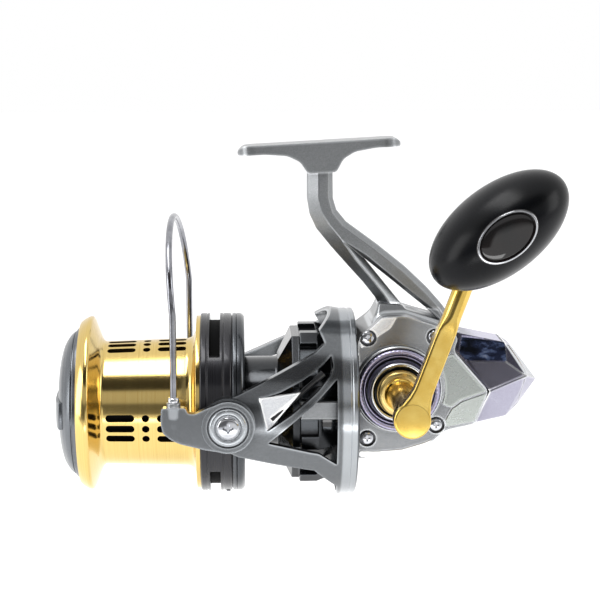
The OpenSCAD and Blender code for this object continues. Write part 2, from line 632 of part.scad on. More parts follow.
module drag_retainer() color(steel) turned([[-105, 16.2], [-104.4, 16.2], [-104.4, 17], [-105, 17]], 48);

module drag_knob() color("#6f7376") difference() {
    union() {
        turned([[knob_tip_x, 0], [-120.2, 14], [-119.3, 22.5], [-117.6, 28.2], [-115.2, 31.8],
            [-113.2, 33.4], [-112.9, 33], [-112.5, 33], [-112.2, 34.6], [-110.6, 35], [-110.2, 34.6],
            [-109.9, 34.6], [-109.6, 36], [-107, 36.2], [-107, 14.8], [-103.6, 14.8],
            [-103.6, 10.6], [-115, 10.6], [-115, 0]], 120);
        intersection() {
            turned([[-121.6, 0], [-121.4, 10], [-120.6, 22], [-118.8, 28.4], [-112, 28.4], [-112, 11],
                [-116, 11], [-116, 0]], 120);
            slab_on_axis(-40, 40) polygon([[-125, -5.8], [-125, 5.8], [-110, 6.6], [-110, -6.6]]);
        }
    }
}

module drag_nut() color(brass) on_axis() translate([-113.4, 0, 0]) rotate([0, 90, 0]) difference() {
    cylinder(r = 10, h = 6, $fn = 6);
    translate([0, 0, -1]) cylinder(r = shaft_r + run, h = 9, $fn = 48);
}

module drag_spring() color(steel) on_axis() translate([-106.6, 0, 0]) rotate([0, 90, 0])
    ring_stack(3, 1.1, 6.4, 0.6);

module drag_seal() color(black) turned([[-106.95, 14.85], [-106.95, 16.4], [-105.8, 16.4], [-105.8, 14.85]]);

// ---- Crank and knob ----

module drive_gear() color(brass) {
    turned_y([[-12, crank_shaft_r], [-12, 19.5], [-8.6, 19.5], [-8.6, 14], [-10, 13.4],
        [-10, crank_shaft_r]]);
    on_axis() translate([crank_x, -8.6, crank_up]) rotate([-90, 0, 0]) linear_extrude(1.2)
        for (i = [0 : drive_teeth - 1]) rotate(360 * i / drive_teeth)
            polygon([[14.2, -0.45], [19.3, -0.6], [19.3, 0.6], [14.2, 0.45]]);
}

module drive_shaft() color(steel) tube_y(-34, 18.9, crank_shaft_r);

module handle_flange() color(gold) difference() {
    turned_y([[-35.2, 0], [-35.2, 8.6], [-34.4, 10.1], [-32.2, 10.6], [-31.6, 10.6], [-31.6, 0]]);
    tube_y(-34, -30, crank_shaft_r);
}

module handle_shank() color(gold) turned_y([[-35.2, 0], [-35.2, 7.4], [-37, 6.4], [-40, 5.8],
    [-70, 5.6], [-73.6, 6.6], [-crank_y + crank_t, 7.4], [-crank_y + crank_t, 0]]);

// Puts children in the crank's own frame: crank axis at the origin, +Z towards the knob
module on_crank() on_axis() translate([crank_x, 0, crank_up]) rotate([0, crank_lean, 0]) children();

module handle_arm() color(gold) on_crank() difference() {
    union() {
        translate([0, -crank_y, 0]) rotate([-90, 0, 0]) cylinder(r = 7.9, h = crank_t, $fn = 64);
        slab(-crank_y, -crank_y + crank_t - 1) polygon([[-6.6, 4.4], [-4.1, 12], [-4.1, 46], [4.1, 46],
            [4.1, 12], [6.6, 4.4]]);
        translate([0, -crank_y + crank_t / 2 - 0.5, 40]) cylinder(r = 4, h = throw - 45.6, $fn = 48);
        translate([0, -crank_y, throw]) rotate([-90, 0, 0]) cylinder(r = 6.2, h = crank_t, $fn = 48);
    }
    translate([0, -crank_y - 1, throw]) rotate([-90, 0, 0]) cylinder(r = 2.55, h = crank_t + 2, $fn = 36);
}

// Puts children on the knob's axis, +Z pointing out from the body along the axis
module on_knob() on_crank() translate([0, -crank_y, throw]) rotate([90, 0, 0]) children();

module knob_shaft() color(chrome) on_knob() {
    translate([0, 0, -crank_t]) cylinder(r = 2.5, h = crank_t + 37, $fn = 36);
    translate([0, 0, 0.05]) cylinder(r = 4, h = 1.2, $fn = 36);
}

module knob_screw() color(steel) on_knob() translate([0, 0, 38.42]) rotate([180, 0, 0])
    cross_screw(3.4, 1.4, 2.5, 0.02);

knob_gap = 1.6;
knob_slices = 13;
module knob_body() color(black) difference() {
    on_knob() translate([0, 0, knob_gap]) rotate([0, 0, crank_lean + knob_turn]) hull()
        for (i = [0 : knob_slices - 1]) let (t = i / (knob_slices - 1), s = sqrt(1 - pow(1.86 * t - 0.93, 2)))
            translate([0, 0, t * knob_d]) linear_extrude(0.1) scale([knob_l / knob_w * s, s])
                circle(d = knob_w, $fn = 48);
    on_knob() {
        translate([0, 0, -1]) cylinder(r = 5, h = 38, $fn = 48);
        translate([0, 0, 36.9]) cylinder(r = 4.2, h = 4, $fn = 36);
    }
}

module knob_cap() color(black) on_knob() rotate([0, 0, crank_lean + knob_turn])
    translate([0, 0, knob_gap + knob_d + 0.1]) linear_extrude(1.4) scale([13.4 / 8.6, 1])
        circle(r = 8.6, $fn = 48);

module knob_bearings() color(steel) on_knob() for (z = [2.2, 32]) translate([0, 0, z]) difference() {
    cylinder(r = 5, h = 4, $fn = 48);
    translate([0, 0, -1]) cylinder(r = 2.53, h = 6, $fn = 36);
}

body_frame();
side_cover();
side_cover_screws();
rear_cover();
rear_cover_inlays();
rear_cover_screws();
trim_ring();
hub_collar();
crank_bearings();
far_side_cap();
pinion_bearings();
one_way_clutch();
guide_rod();
anti_reverse_lever();
rotor();
pinion();
rotor_nut();
bail_pivot_screws();
bail_pivot_washers();
bail_spring();
balance_weight();
trip_rod();
bail_arm();
bail_cam();
bail_wire();
wire_collars();
roller_screw();
roller_bearing();
line_roller();
main_shaft();
slider_block();
slider_screw();
spool_washer();
drag_plates();
worm_shaft();
worm_gear();
spool_lip();
spool_drum();
spool_flange();
spool_hub();
spool_skirt();
skirt_ring();
line_clip();
spool_bearings();
drag_discs();
drag_retainer();
drag_knob();
drag_nut();
drag_spring();
drag_seal();
drive_gear();
drive_shaft();
handle_flange();
handle_shank();
handle_arm();
knob_shaft();
knob_screw();
knob_body();
knob_cap();
knob_bearings();
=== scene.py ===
"""Looks for a large surf spinning reel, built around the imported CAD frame."""

import json
import math

import bmesh
import bpy
from mathutils import Matrix, Vector
from mathutils.bvhtree import BVHTree


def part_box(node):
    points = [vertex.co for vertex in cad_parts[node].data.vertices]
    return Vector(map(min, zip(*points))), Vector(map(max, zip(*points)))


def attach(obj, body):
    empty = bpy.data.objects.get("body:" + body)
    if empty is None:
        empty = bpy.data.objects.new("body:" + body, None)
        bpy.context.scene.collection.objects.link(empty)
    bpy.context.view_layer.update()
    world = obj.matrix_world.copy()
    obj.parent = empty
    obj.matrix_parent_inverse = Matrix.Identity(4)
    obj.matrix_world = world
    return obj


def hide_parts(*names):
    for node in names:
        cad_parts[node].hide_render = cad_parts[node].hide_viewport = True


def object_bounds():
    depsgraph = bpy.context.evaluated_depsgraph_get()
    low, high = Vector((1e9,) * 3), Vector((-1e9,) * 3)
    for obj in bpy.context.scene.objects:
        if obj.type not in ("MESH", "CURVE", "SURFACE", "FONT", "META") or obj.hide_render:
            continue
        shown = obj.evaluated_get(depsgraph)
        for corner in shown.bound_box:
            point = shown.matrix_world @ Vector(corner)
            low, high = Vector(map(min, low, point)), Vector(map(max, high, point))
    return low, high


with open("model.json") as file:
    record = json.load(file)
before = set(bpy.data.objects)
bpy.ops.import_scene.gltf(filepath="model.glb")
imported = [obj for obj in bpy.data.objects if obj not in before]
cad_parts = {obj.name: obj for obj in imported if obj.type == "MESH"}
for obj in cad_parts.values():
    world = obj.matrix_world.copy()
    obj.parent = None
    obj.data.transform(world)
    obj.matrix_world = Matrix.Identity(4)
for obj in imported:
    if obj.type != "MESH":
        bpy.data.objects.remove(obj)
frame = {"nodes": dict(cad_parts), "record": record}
CAD_LOW, CAD_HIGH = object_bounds()

MM = 0.001
JOINTS = {j["name"]: j for j in frame["record"]["behaviour"]["joints"]}


def joint_place(name):
    """Where a joint's axis passes, in millimetres."""
    return Vector(JOINTS[name]["pos_m"]) / MM


AXIS_Z = joint_place("rotor_spin").z
CRANK = joint_place("handle_crank")
PIVOT = joint_place("bail_open")
KNOB = joint_place("knob_spin")
ROLLER = joint_place("line_roller_spin")
CRANK_UP = CRANK.z - AXIS_Z
FILLET_STEPS = 4
FILLET_REACH = 0.48  # of the shorter side next to a corner
ROUND_STEPS = 160


def node_box(node):
    """A CAD node's lowest and highest corner in millimetres."""
    low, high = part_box(node)
    return low / MM, high / MM


# ---- mesh helpers

def linked(name, data):
    """Puts a mesh, light or camera into the scene as an object of that name."""
    name = name.replace(" ", "_")
    data.name = name
    obj = bpy.data.objects.new(name, data)
    bpy.context.scene.collection.objects.link(obj)
    return obj


def mesh_of(bm):
    """A bmesh as a mesh."""
    mesh = bpy.data.meshes.new("mesh")
    bm.to_mesh(mesh)
    bm.free()
    return mesh


def tidy_normals(obj, merge=1e-6, fill=False):
    """Merges points that meet, fills open edges if asked, and turns all faces outwards."""
    bm = bmesh.new()
    bm.from_mesh(obj.data)
    bmesh.ops.remove_doubles(bm, verts=bm.verts, dist=merge)
    if fill:
        bmesh.ops.holes_fill(bm, edges=[e for e in bm.edges if e.is_boundary])
    bmesh.ops.recalc_face_normals(bm, faces=bm.faces)
    bm.to_mesh(obj.data)
    bm.free()
    return obj


def new_object(name, verts, faces):
    """A mesh object from points in millimetres."""
    mesh = bpy.data.meshes.new("mesh")
    mesh.from_pydata([Vector(v) * MM for v in verts], [], faces)
    return tidy_normals(linked(name, mesh))


def filleted(points, closed=True):
    """Points with corners rounded where a third number gives the rounding."""
    out, count = [], len(points)
    for i, p in enumerate(points):
        size = p[2] if len(p) > 2 else 0
        if size == 0 or (not closed and i in (0, count - 1)):
            out.append((p[0], p[1]))
            continue
        here = Vector(p[:2])
        back = Vector(points[i - 1][:2]) - here
        ahead = Vector(points[(i + 1) % count][:2]) - here
        size = min(size, back.length * FILLET_REACH, ahead.length * FILLET_REACH)
        a, b = here + back.normalized() * size, here + ahead.normalized() * size
        for k in range(FILLET_STEPS + 1):
            t = k / FILLET_STEPS
            q = a * (1 - t) ** 2 + here * 2 * t * (1 - t) + b * t * t
            out.append((q.x, q.y))
    return out


def eased(outline, size):
    """An outline with every corner rounded by the same size."""
    return filleted([(p[0], p[1], size) for p in outline])


def quads(rows, across, rows_meet=False, ends_meet=True):
    """Faces between neighbouring rows of points; either way may close on itself."""
    return [(r * across + i, r * across + (i + 1) % across,
             (r + 1) % rows * across + (i + 1) % across, (r + 1) % rows * across + i)
            for r in range(rows if rows_meet else rows - 1)
            for i in range(across if ends_meet else across - 1)]


def loft(name, rings, first=True, last=True):
    """A skin through rings of points, capped at the first and the last ring unless told not to."""
    n = len(rings[0])
    caps = [list(range(n))] * first + [[(len(rings) - 1) * n + k for k in range(n)]] * last
    return new_object(name, [p for ring in rings for p in ring], quads(len(rings), n) + caps)


def revolve(name, profile, about="x", centre=(0, AXIS_Z), steps=ROUND_STEPS, closed=True,
            scallop=None, phase=0.0):
    """A turned piece. The profile is [station, radius, rounding] along the axis."""
    ring = filleted(profile, closed)
    u, v = centre
    verts = []
    for s in range(steps):
        a = 2 * math.pi * (s + phase) / steps
        for station, radius in ring:
            r = radius + (scallop(a, station) if scallop else 0)
            across, up = r * math.cos(a), r * math.sin(a)
            verts.append({"x": (station, u + up, v + across), "y": (u + across, station, v + up),
                          "z": (u + across, v + up, station)}[about])
    return new_object(name, verts, quads(steps, len(ring), True, closed))


def prism(name, outline, y0, y1, base=AXIS_Z):
    """A slab between y0 and y1 whose side outline is given as [x, height above base]."""
    return loft(name, [[(p[0], y, base + p[1]) for p in outline] for y in (y0, y1)])


def cylinder_y(name, x, up, radius, y0, y1, steps=72):
    """A plain cylinder along Y."""
    turns = [2 * math.pi * k / steps for k in range(steps)]
    return prism(name, [(x + radius * math.cos(a), up + radius * math.sin(a)) for a in turns], y0, y1)


def about_axis(point, degrees):
    """A point given from the spool axis, turned about it by degrees."""
    return Matrix.Rotation(math.radians(degrees), 3, "X") @ Vector(point) + Vector((0, 0, AXIS_Z))


def block(name, low, high, turn=0):
    """A box, its heights taken from the spool axis, turned about that axis by degrees."""
    (x0, y0, z0), (x1, y1, z1) = low, high
    return loft(name, [[about_axis((x, y, z), turn) for y, z in ((y0, z0), (y1, z0), (y1, z1), (y0, z1))]
                       for x in (x0, x1)])


def hull(name, points):
    """The convex body round some points."""
    bm = bmesh.new()
    for p in points:
        bm.verts.new(Vector(p) * MM)
    bmesh.ops.convex_hull(bm, input=bm.verts)
    loose = [v for v in bm.verts if not v.link_faces]
    bmesh.ops.delete(bm, geom=loose, context="VERTS")
    bmesh.ops.dissolve_limit(bm, angle_limit=math.radians(1), verts=bm.verts, edges=bm.edges)
    bmesh.ops.recalc_face_normals(bm, faces=bm.faces)
    return linked(name, mesh_of(bm))


def sweep(name, path, radius, sides=24):
    """A round bar along a path."""
    points = [Vector(p) for p in path]
    rings = []
    for i, p in enumerate(points):
        along = (points[min(i + 1, len(points) - 1)] - points[max(i - 1, 0)]).normalized()
        u = along.cross(Vector((1, 0, 0))).normalized()
        v = along.cross(u)
        turns = [2 * math.pi * k / sides for k in range(sides)]
        rings.append([p + radius * (math.cos(a) * u + math.sin(a) * v) for a in turns])
    return loft(name, rings)


def mirrored(obj, name):
    """A copy on the other side of the spool axis."""
    other = linked(name, obj.data.copy())
    for v in other.data.vertices:
        v.co.y = -v.co.y
    return tidy_normals(other)


def combine(obj, tools, operation="DIFFERENCE"):
    """Cuts, joins or intersects an object with other solids and removes those."""
    for tool in tools:
        step = obj.modifiers.new(operation.lower(), "BOOLEAN")
        step.operation, step.object, step.solver = operation, tool, "EXACT"
    bpy.context.view_layer.update()
    made = obj.evaluated_get(bpy.context.evaluated_depsgraph_get())
    made = bpy.data.meshes.new_from_object(made)
    obj.modifiers.clear()
    obj.data = made
    for tool in tools:
        bpy.data.objects.remove(tool, do_unlink=True)
    return tidy_normals(obj, 1e-7)


def joined(name, objs):
    """Several objects as one mesh, with no cutting."""
    bm = bmesh.new()
    for obj in objs:
        bm.from_mesh(obj.data)
    mesh = mesh_of(bm)
    for obj in objs:
        bpy.data.objects.remove(obj, do_unlink=True)
    return linked(name, mesh)


def soften(obj, width, segments=3, angle=28):
    """Rounds edges sharper than an angle and smooths the shading; width 0 only marks them sharp."""
    for face in obj.data.polygons:
        face.use_smooth = True
    if width:
        step = obj.modifiers.new("edge", "BEVEL")
        step.width, step.segments = width * MM, segments
        step.limit_method, step.angle_limit = "ANGLE", math.radians(angle)
        step.harden_normals, step.use_clamp_overlap = True, True
        step.miter_outer = "MITER_ARC"
    else:
        obj.data.set_sharp_from_angle(angle=math.radians(angle))
    return obj


def turned(name, profile, angle=35, **shape):
    """A smooth turned piece with no rounded edges beyond its profile's own."""
    return soften(revolve(name, profile, **shape), 0, angle=angle)


def crank_turned(name, profile, steps=160, angle=35, **shape):
    """A smooth turned piece about the crank's axis."""
    return turned(name, profile, angle, about="y", centre=(CRANK.x, CRANK.z), steps=steps, **shape)


def place(obj, body, slot, material, *nodes):
    """Gives an object its body and material, and hides the CAD nodes it stands for; slot is not used."""
    obj.data.materials.clear()
    obj.data.materials.append(material)
    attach(obj, body)
    if nodes:
        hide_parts(*nodes)
    return obj


# ---- materials

def srgb(text):
    """A linear colour from a hex code."""
    parts = [int(text[i:i + 2], 16) / 255 for i in (0, 2, 4)]
    return tuple(c / 12.92 if c <= 0.04045 else ((c + 0.055) / 1.055) ** 2.4 for c in parts)


class Nodes:
    """A small builder over one node tree."""

    def __init__(self, tree):
        self.tree = tree

    def feed(self, socket, value):
        """Links another node's output into a socket, or sets the socket's own value."""
        if isinstance(value, bpy.types.NodeSocket):
            self.tree.links.new(value, socket)
        else:
            socket.default_value = value

    def node(self, kind, **values):
        """A node of a kind, with its properties set and its inputs fed by name."""
        n = self.tree.nodes.new("ShaderNode" + kind)
        for key, value in values.items():
            if hasattr(n, key):
                setattr(n, key, value)
            else:
                self.feed(n.inputs[key.replace("_", " ")], value)
        return n

    def maths(self, kind, operation, *values):
        n = self.node(kind, operation=operation)
        for socket, value in zip(n.inputs, values):
            self.feed(socket, value)
        return n

    def mix(self, amount, first, second, **kind):
        """A mix of two colours, by an amount of the second."""
        n = self.node("Mix", data_type="RGBA", **kind)
        for socket, value in ((0, amount), (6, first), (7, second)):
            self.feed(n.inputs[socket], value)
        return n.outputs[2]

    def ramp(self, value, stops):
        """A colour ramp; stops are (place, colour) in rising order of place."""
        n = self.node("ValToRGB", Fac=value)
        bar = n.color_ramp.elements
        bar.remove(bar[-1])
        for i, (at, colour) in enumerate(stops):
            element = bar.new(at) if i else bar[0]
            element.position = at
            element.color = (*colour, 1)
        return n.outputs["Color"]

    def fade(self, value, low, high):
        """0 below low and 1 above high, smooth between."""
        return self.node("MapRange", interpolation_type="SMOOTHSTEP", From_Min=low, From_Max=high,
                         Value=value).outputs["Result"]


class Shader(Nodes):
    """A node-tree builder round one Principled shader."""

    def __init__(self, name, light="ffffff", dark="000000"):
        self.light, self.dark = srgb(light), srgb(dark)
        self.material = bpy.data.materials.new(name)
        self.material.use_nodes = True
        super().__init__(self.material.node_tree)
        self.main = self.tree.nodes["Principled BSDF"]
        self.place = self.node("TexCoord").outputs["Object"]

    def scaled(self, x, y, z):
        """Object place stretched by three numbers."""
        return self.node("Mapping", Scale=(x, y, z), Vector=self.place).outputs["Vector"]

    def rings(self, about, centre):
        """A place made of distance along and out from an axis, for turned marks."""
        offset = self.maths("VectorMath", "SUBTRACT", self.place, centre).outputs[0]
        parts = self.node("SeparateXYZ", Vector=offset).outputs
        flat = self.node("CombineXYZ", X=parts["Y" if about == "X" else "X"], Y=parts["Z"]).outputs[0]
        out = self.maths("VectorMath", "LENGTH", flat).outputs["Value"]
        return self.node("CombineXYZ", X=parts[about], Y=out).outputs[0]

    def noise(self, vector, scale, detail=3.0, rough=0.55):
        return self.node("TexNoise", Scale=scale, Detail=detail, Roughness=rough,
                         Vector=vector).outputs["Fac"]

    def span(self, value, low, high):
        """Spreads a 0 to 1 value over a range."""
        return self.node("MapRange", To_Min=low, To_Max=high, Value=value).outputs["Result"]

    def hollow(self, reach, **kind):
        """How open the surface is within a reach in millimetres, 0 to 1."""
        return self.node("AmbientOcclusion", samples=6, Distance=reach * MM, **kind).outputs["AO"]

    def bump(self, *heights):
        """Stacks (height, strength, distance in mm) into the shader's normal."""
        last = None
        for value, strength, distance in heights:
            n = self.node("Bump", Strength=strength, Distance=distance * MM, Height=value)
            if last is not None:
                self.feed(n.inputs["Normal"], last)
            last = n.outputs["Normal"]
        self.set(Normal=last)

    def set(self, **values):
        """Feeds the Principled shader's inputs by name."""
        for key, value in values.items():
            self.feed(self.main.inputs[key.replace("_", " ")], value)
        return self.material


TURNING_POINT = {"X": Vector((0, 0, AXIS_Z)), "Y": Vector((CRANK.x, 0, CRANK.z))}


def turned_metal(name, light, dark, about, roughness, brush, metallic=1.0, coat=0.0):
    """Metal with fine turned lines round an axis."""
    s = Shader(name, light, dark)
    fine = s.noise(s.rings(about, TURNING_POINT[about] * MM), brush, 4.0, 0.7)
    broad = s.noise(s.place, 60.0, 4.0)
    rough = s.maths("Math", "ADD", s.span(fine, roughness * 0.7, roughness * 1.3),
                    s.span(broad, -0.03, 0.05)).outputs[0]
    s.bump((fine, 0.1, 0.015), (broad, 0.04, 0.1))
    return s.set(Base_Color=s.ramp(fine, [(0.3, s.dark), (0.62, s.light)]), Roughness=rough,
                 Metallic=metallic, Coat_Weight=coat, Coat_Roughness=0.08)


def flaked_paint(name, light, dark, roughness=0.3, metallic=0.85):
    """Satin paint with metal flakes, with painted shade in hollows and painted highlights on edges."""
    s = Shader(name, light, dark)
    flakes = s.node("TexVoronoi", Scale=5200.0, Vector=s.place).outputs["Color"]
    parts = s.node("SeparateColor", Color=flakes).outputs
    cloud = s.noise(s.place, 90.0, 4.0)
    middle = tuple((a + b) / 2 for a, b in zip(s.dark, s.light))
    tint = s.ramp(parts[0], [(0.0, s.dark), (0.55, middle), (1.0, s.light)])
    # Painted shade: the colour is multiplied darker where ambient occlusion finds hollows and creases.
    shade = s.ramp(s.hollow(7), [(0.3, (0.25, 0.25, 0.27)), (0.95, (1, 1, 1))])
    darker = s.mix(1.0, tint, shade, blend_type="MULTIPLY")
    # Painted highlight: convex edges, found by occlusion inside the mesh, are mixed towards a brighter copy
    # of the light colour.
    edge_highlight = s.ramp(s.hollow(1.2, inside=True), [(0.45, (1, 1, 1)), (0.9, (0, 0, 0))])
    highlight_colour = (*[min(1.0, 2.2 * c) for c in s.light], 1)
    s.bump((parts[1], 0.05, 0.02), (cloud, 0.05, 0.15))
    return s.set(Base_Color=s.mix(edge_highlight, darker, highlight_colour),
                 Roughness=s.span(cloud, roughness * 0.8, roughness * 1.2),
                 Metallic=metallic, Coat_Weight=0.35, Coat_Roughness=0.12)


def polished(name, light, dark, roughness):
    """Polished metal with faint wipe marks."""
    s = Shader(name, light, dark)
    wipes = s.noise(s.scaled(1.0, 0.25, 3.0), 900.0, 5.0, 0.65)
    cloud = s.noise(s.place, 120.0, 3.0)
    s.bump((wipes, 0.05, 0.02), (cloud, 0.03, 0.1))
    return s.set(Base_Color=s.ramp(cloud, [(0.35, s.dark), (0.65, s.light)]),
                 Roughness=s.span(wipes, roughness * 0.6, roughness * 1.5), Metallic=1.0)


def moulded(name, light, dark, roughness, grain=1400.0, depth=0.03, coat=0.0, specular=0.5):
    """Rubber or plastic with a fine moulded grain."""
    s = Shader(name, light, dark)
    skin = s.noise(s.place, grain, 3.0, 0.6)
    cloud = s.noise(s.place, 70.0, 4.0)
    s.bump((skin, 0.25, depth), (cloud, 0.05, 0.2))
    return s.set(Base_Color=s.ramp(cloud, [(0.3, s.dark), (0.7, s.light)]),
                 Roughness=s.span(skin, roughness * 0.85, roughness * 1.15),
                 Coat_Weight=coat, Coat_Roughness=0.05, Specular_IOR_Level=specular)


def marbled(name):
    """Glossy blue-grey resin with pale clouds."""
    s = Shader(name)
    swirl = s.noise(s.scaled(1.0, 1.0, 2.2), 75.0, 6.0, 0.62)
    fine = s.noise(s.place, 420.0, 3.0)
    s.bump((swirl, 0.12, 0.2), (fine, 0.05, 0.03))
    tint = s.ramp(swirl, [(0.40, srgb("10131d")), (0.50, srgb("2b3450")), (0.58, srgb("67779c")),
                          (0.66, srgb("cfd6e8"))])
    return s.set(Base_Color=tint, Roughness=s.span(fine, 0.1, 0.26), Metallic=0.5,
                 Coat_Weight=1.0, Coat_Roughness=0.04)


GOLD_DRUM = turned_metal("gold drum", "e8cd86", "d6b566", "X", 0.13, 5200.0)
GOLD_POLISHED = polished("gold polished", "e2c46e", "d6b256", 0.14)
GOLD_DISC = turned_metal("gold disc", "e2c987", "c9a95f", "Y", 0.26, 4200.0)
CHROME = polished("chrome", "d9dade", "c4c6cb", 0.1)
WIRE_METAL = polished("wire metal", "a2a3a9", "86878d", 0.16)
LAVENDER = turned_metal("lavender ring", "b9b5cc", "9692ae", "Y", 0.28, 5200.0)
GREY_PAINT = flaked_paint("grey paint", "939597", "777a7c")
ARM_PAINT = flaked_paint("arm paint", "787b7e", "5c5f62", roughness=0.17)
DARK_PAINT = flaked_paint("dark paint", "53565a", "3a3d40", roughness=0.22)
ROTOR_DARK = flaked_paint("rotor dark", "3c3f42", "28292c", roughness=0.18)
SILVER_PAINT = flaked_paint("silver paint", "b7b5c6", "9f9daf", roughness=0.25, metallic=0.9)
RIM_PAINT = flaked_paint("rim paint", "8c8a9c", "706e84", roughness=0.25, metallic=0.9)
# Painted highlight: a near-white copy of the paint, for faces that should look as if they catch the light.
HIGHLIGHT_PAINT = flaked_paint("painted highlight paint", "dfe1e4", "c4c6ca", roughness=0.25, metallic=0.75)
COVER_PAINT = flaked_paint("cover paint", "989a9c", "7a7c7e", roughness=0.25, metallic=0.88)
PANEL_PAINT = flaked_paint("panel paint", "7f8380", "686c69", roughness=0.27)
CAP_METAL = turned_metal("gunmetal", "7c7f83", "5c5f63", "X", 0.25, 3800.0)
GRAPHITE = turned_metal("graphite", "2c2c31", "1d1d20", "X", 0.27, 4200.0, metallic=0.6, coat=0.4)
STEEL = polished("steel", "a9acb0", "8d9094", 0.25)
BRASS = polished("brass", "c9a65c", "a88240", 0.28)
RUBBER = moulded("soft rubber", "0e0f13", "060709", 0.26, specular=0.15)
# Painted shade: a near-black, barely reflecting plastic that stands for the shade inside hollows.
SHADE_LINER = moulded("painted shade liner", "0c0c0d", "050506", 0.6, specular=0.05)
BLACK = moulded("black plastic", "1c1d20", "0e0f11", 0.3, coat=0.2)
GLOSS = moulded("gloss black", "1a1413", "08090b", 0.05, grain=500.0, depth=0.01, coat=0.4)
INLAY = marbled("marbled inlay")

SLOT_LOOK = {"grey_paint": GREY_PAINT, "dark_paint": DARK_PAINT, "silver_paint": SILVER_PAINT,
             "cap_paint": CAP_METAL, "gold": GOLD_POLISHED, "graphite": GRAPHITE, "inlay": INLAY,
             "chrome": CHROME, "steel": STEEL, "brass": BRASS, "soft_black": RUBBER,
             "black_plastic": BLACK, "gloss_black": GLOSS}
for part in frame["record"]["subparts"]:
    shown = frame["nodes"][part["node"]]
    shown.data.materials.clear()
    shown.data.materials.append(SLOT_LOOK[part["material_slot"]])


# ---- screws

def cross_screw(name, radius, height, place_mm, toward):
    """A domed cross-head screw whose face looks along a direction, seated at a point."""
    head = revolve(name, [
        (0, 0), (0, radius * 0.97, radius * 0.06), (height * 0.45, radius, radius * 0.1),
        (height * 0.8, radius * 0.86, radius * 0.2), (height, radius * 0.45, radius * 0.2), (height, 0)],
        "z", (0, 0), 64, closed=False)
    arm, waist, deep = radius * 0.62, radius * 0.15, height * 0.75
    corner = ((arm, -waist), (arm, waist), (waist * 1.5, waist * 1.5))
    star = [Matrix.Rotation(k * math.pi / 2, 2) @ Vector(p) for k in range(4) for p in corner]
    combine(head, [loft(name + " cross", [[(x * size, y * size, z) for x, y in star]
                                          for size, z in ((1, height + 1), (0.55, height - deep))])])
    aim = Vector(toward).to_track_quat("Z", "Y").to_matrix().to_4x4()
    head.data.transform(Matrix.Translation(Vector(place_mm) * MM) @ aim)
    return head


# ---- spool

SLOT_HALF = 1.7
SLOT_SPANS = ((-97.6, -84.6), (-81.2, -77.8), (-74.4, -61.4))


def drum_slot(x0, x1, degrees):
    """A cutter for one round-ended slot through the drum's wall."""
    outline, steps = [], 24
    for k in range(steps):
        a = 2 * math.pi * k / steps
        end = x1 - SLOT_HALF if math.cos(a) > 0 else x0 + SLOT_HALF
        outline.append((end + SLOT_HALF * math.cos(a), SLOT_HALF * math.sin(a)))
    return loft("slot", [[about_axis((x, side, radius), degrees) for x, side in outline]
                         for radius in (23, 34)])


def make_spool():
    """The gold spool, its skirt and ring, near-black liners in its hollows as painted shade, and the line
    clip.
    """
    lip = node_box("spool_lip")[0].x
    drum = revolve("gold spool", [
        (lip + 4.2, 17), (lip + 4.2, 37.2, 0.4), (lip + 0.7, 37.2, 0.4), (lip, 37.9, 0.3),
        (lip + 1.9, 39.4, 1.2), (lip + 4.1, 40.45, 0.9), (lip + 5.3, 40.45, 0.6),
        (lip + 6.0, 39.8, 1.2), (lip + 9.5, 30.8, 2.4), (lip + 10.5, 29.2, 1.2), (-99, 28.6, 0.6),
        (-60.5, 29.8, 1), (-58.6, 30.8, 1), (-57.4, 32.8, 1.4), (-56.8, 35.6, 1.4), (-56.8, 40.4, 0.4),
        (-54.8, 40.4, 0.2), (-54.8, 38.5), (-52.6, 38.5), (-52.6, 36.6), (-55.2, 36.6), (-55.2, 26.6),
        (-103.2, 26.4), (-103.2, 19.6), (-94, 19.6), (-94, 9.6), (-66, 9.6), (-66, 6.5), (-94.2, 6.5),
        (-94.2, 4), (-97, 4), (-97, 17)], steps=192)
    slots = [drum_slot(*span, 102 + 90 * group + 10 * row)
             for group in range(4) for row in (-1, 0, 1) for span in SLOT_SPANS]
    combine(drum, [joined("slots", slots)])
    soften(drum, 0.3, 2, 40)
    place(drum, "spool", "gold", GOLD_DRUM, "spool_lip", "spool_drum", "spool_flange", "spool_hub")

    skirt = revolve("spool skirt", [
        (-54.8, 38.5), (-54.8, 41.1, 0.3), (-54.2, 41.5, 0.4), (-52.2, 41.5), (-51.9, 41.2), (-51.6, 41.2),
        (-51.3, 41.5), (-44.8, 41.5), (-44.5, 41.2), (-44.2, 41.2), (-43.9, 41.5), (-41.2, 41.5, 0.3),
        (-40.6, 41, 0.2), (-40.6, 40.3), (-40.2, 40.3), (-40.2, 38.5)], steps=192)
    combine(skirt, [block("cut", (-50.6, -46, 27.4), (-45.8, 46, 47)),
                    block("cut", (-50.6, -46, -47), (-45.8, 46, -25))])
    soften(skirt, 0.25, 2, 40)
    place(skirt, "spool", "graphite", GRAPHITE, "spool_skirt")

    ring = turned("skirt ring", [
        (-40.2, 38.5), (-40.2, 41.1, 0.2), (-39.8, 41.5, 0.5), (-38.6, 41.5), (-38.3, 41.15), (-38, 41.5),
        (-36.4, 41.5, 1), (-35.2, 40.7, 0.8), (-34.6, 39.8, 0.4), (-34.6, 38.5)], steps=192)
    place(ring, "spool", "dark_paint", DARK_PAINT, "skirt_ring")

    # Painted shade: near-black liners inside the drum and behind the skirt's slots, so the holes and slots
    # read as shaded hollows.
    shade_liner = joined("spool shade liners", [
        revolve("shade_liner", [(x0, inner), (x0, inner + 1.5), (x1, inner + 1.5), (x1, inner)])
        for x0, x1, inner in ((-54.9, -44.6, 36.8), (-99, -58, 24.8))])
    place(soften(shade_liner, 0, angle=35), "spool", "graphite", SHADE_LINER)

    clip = soften(block("line clip", (-43.4, -3, -42.05), (-41.4, 3, -41.5), turn=-15), 0.2, 2)
    place(clip, "spool", "chrome", CHROME, "line_clip")


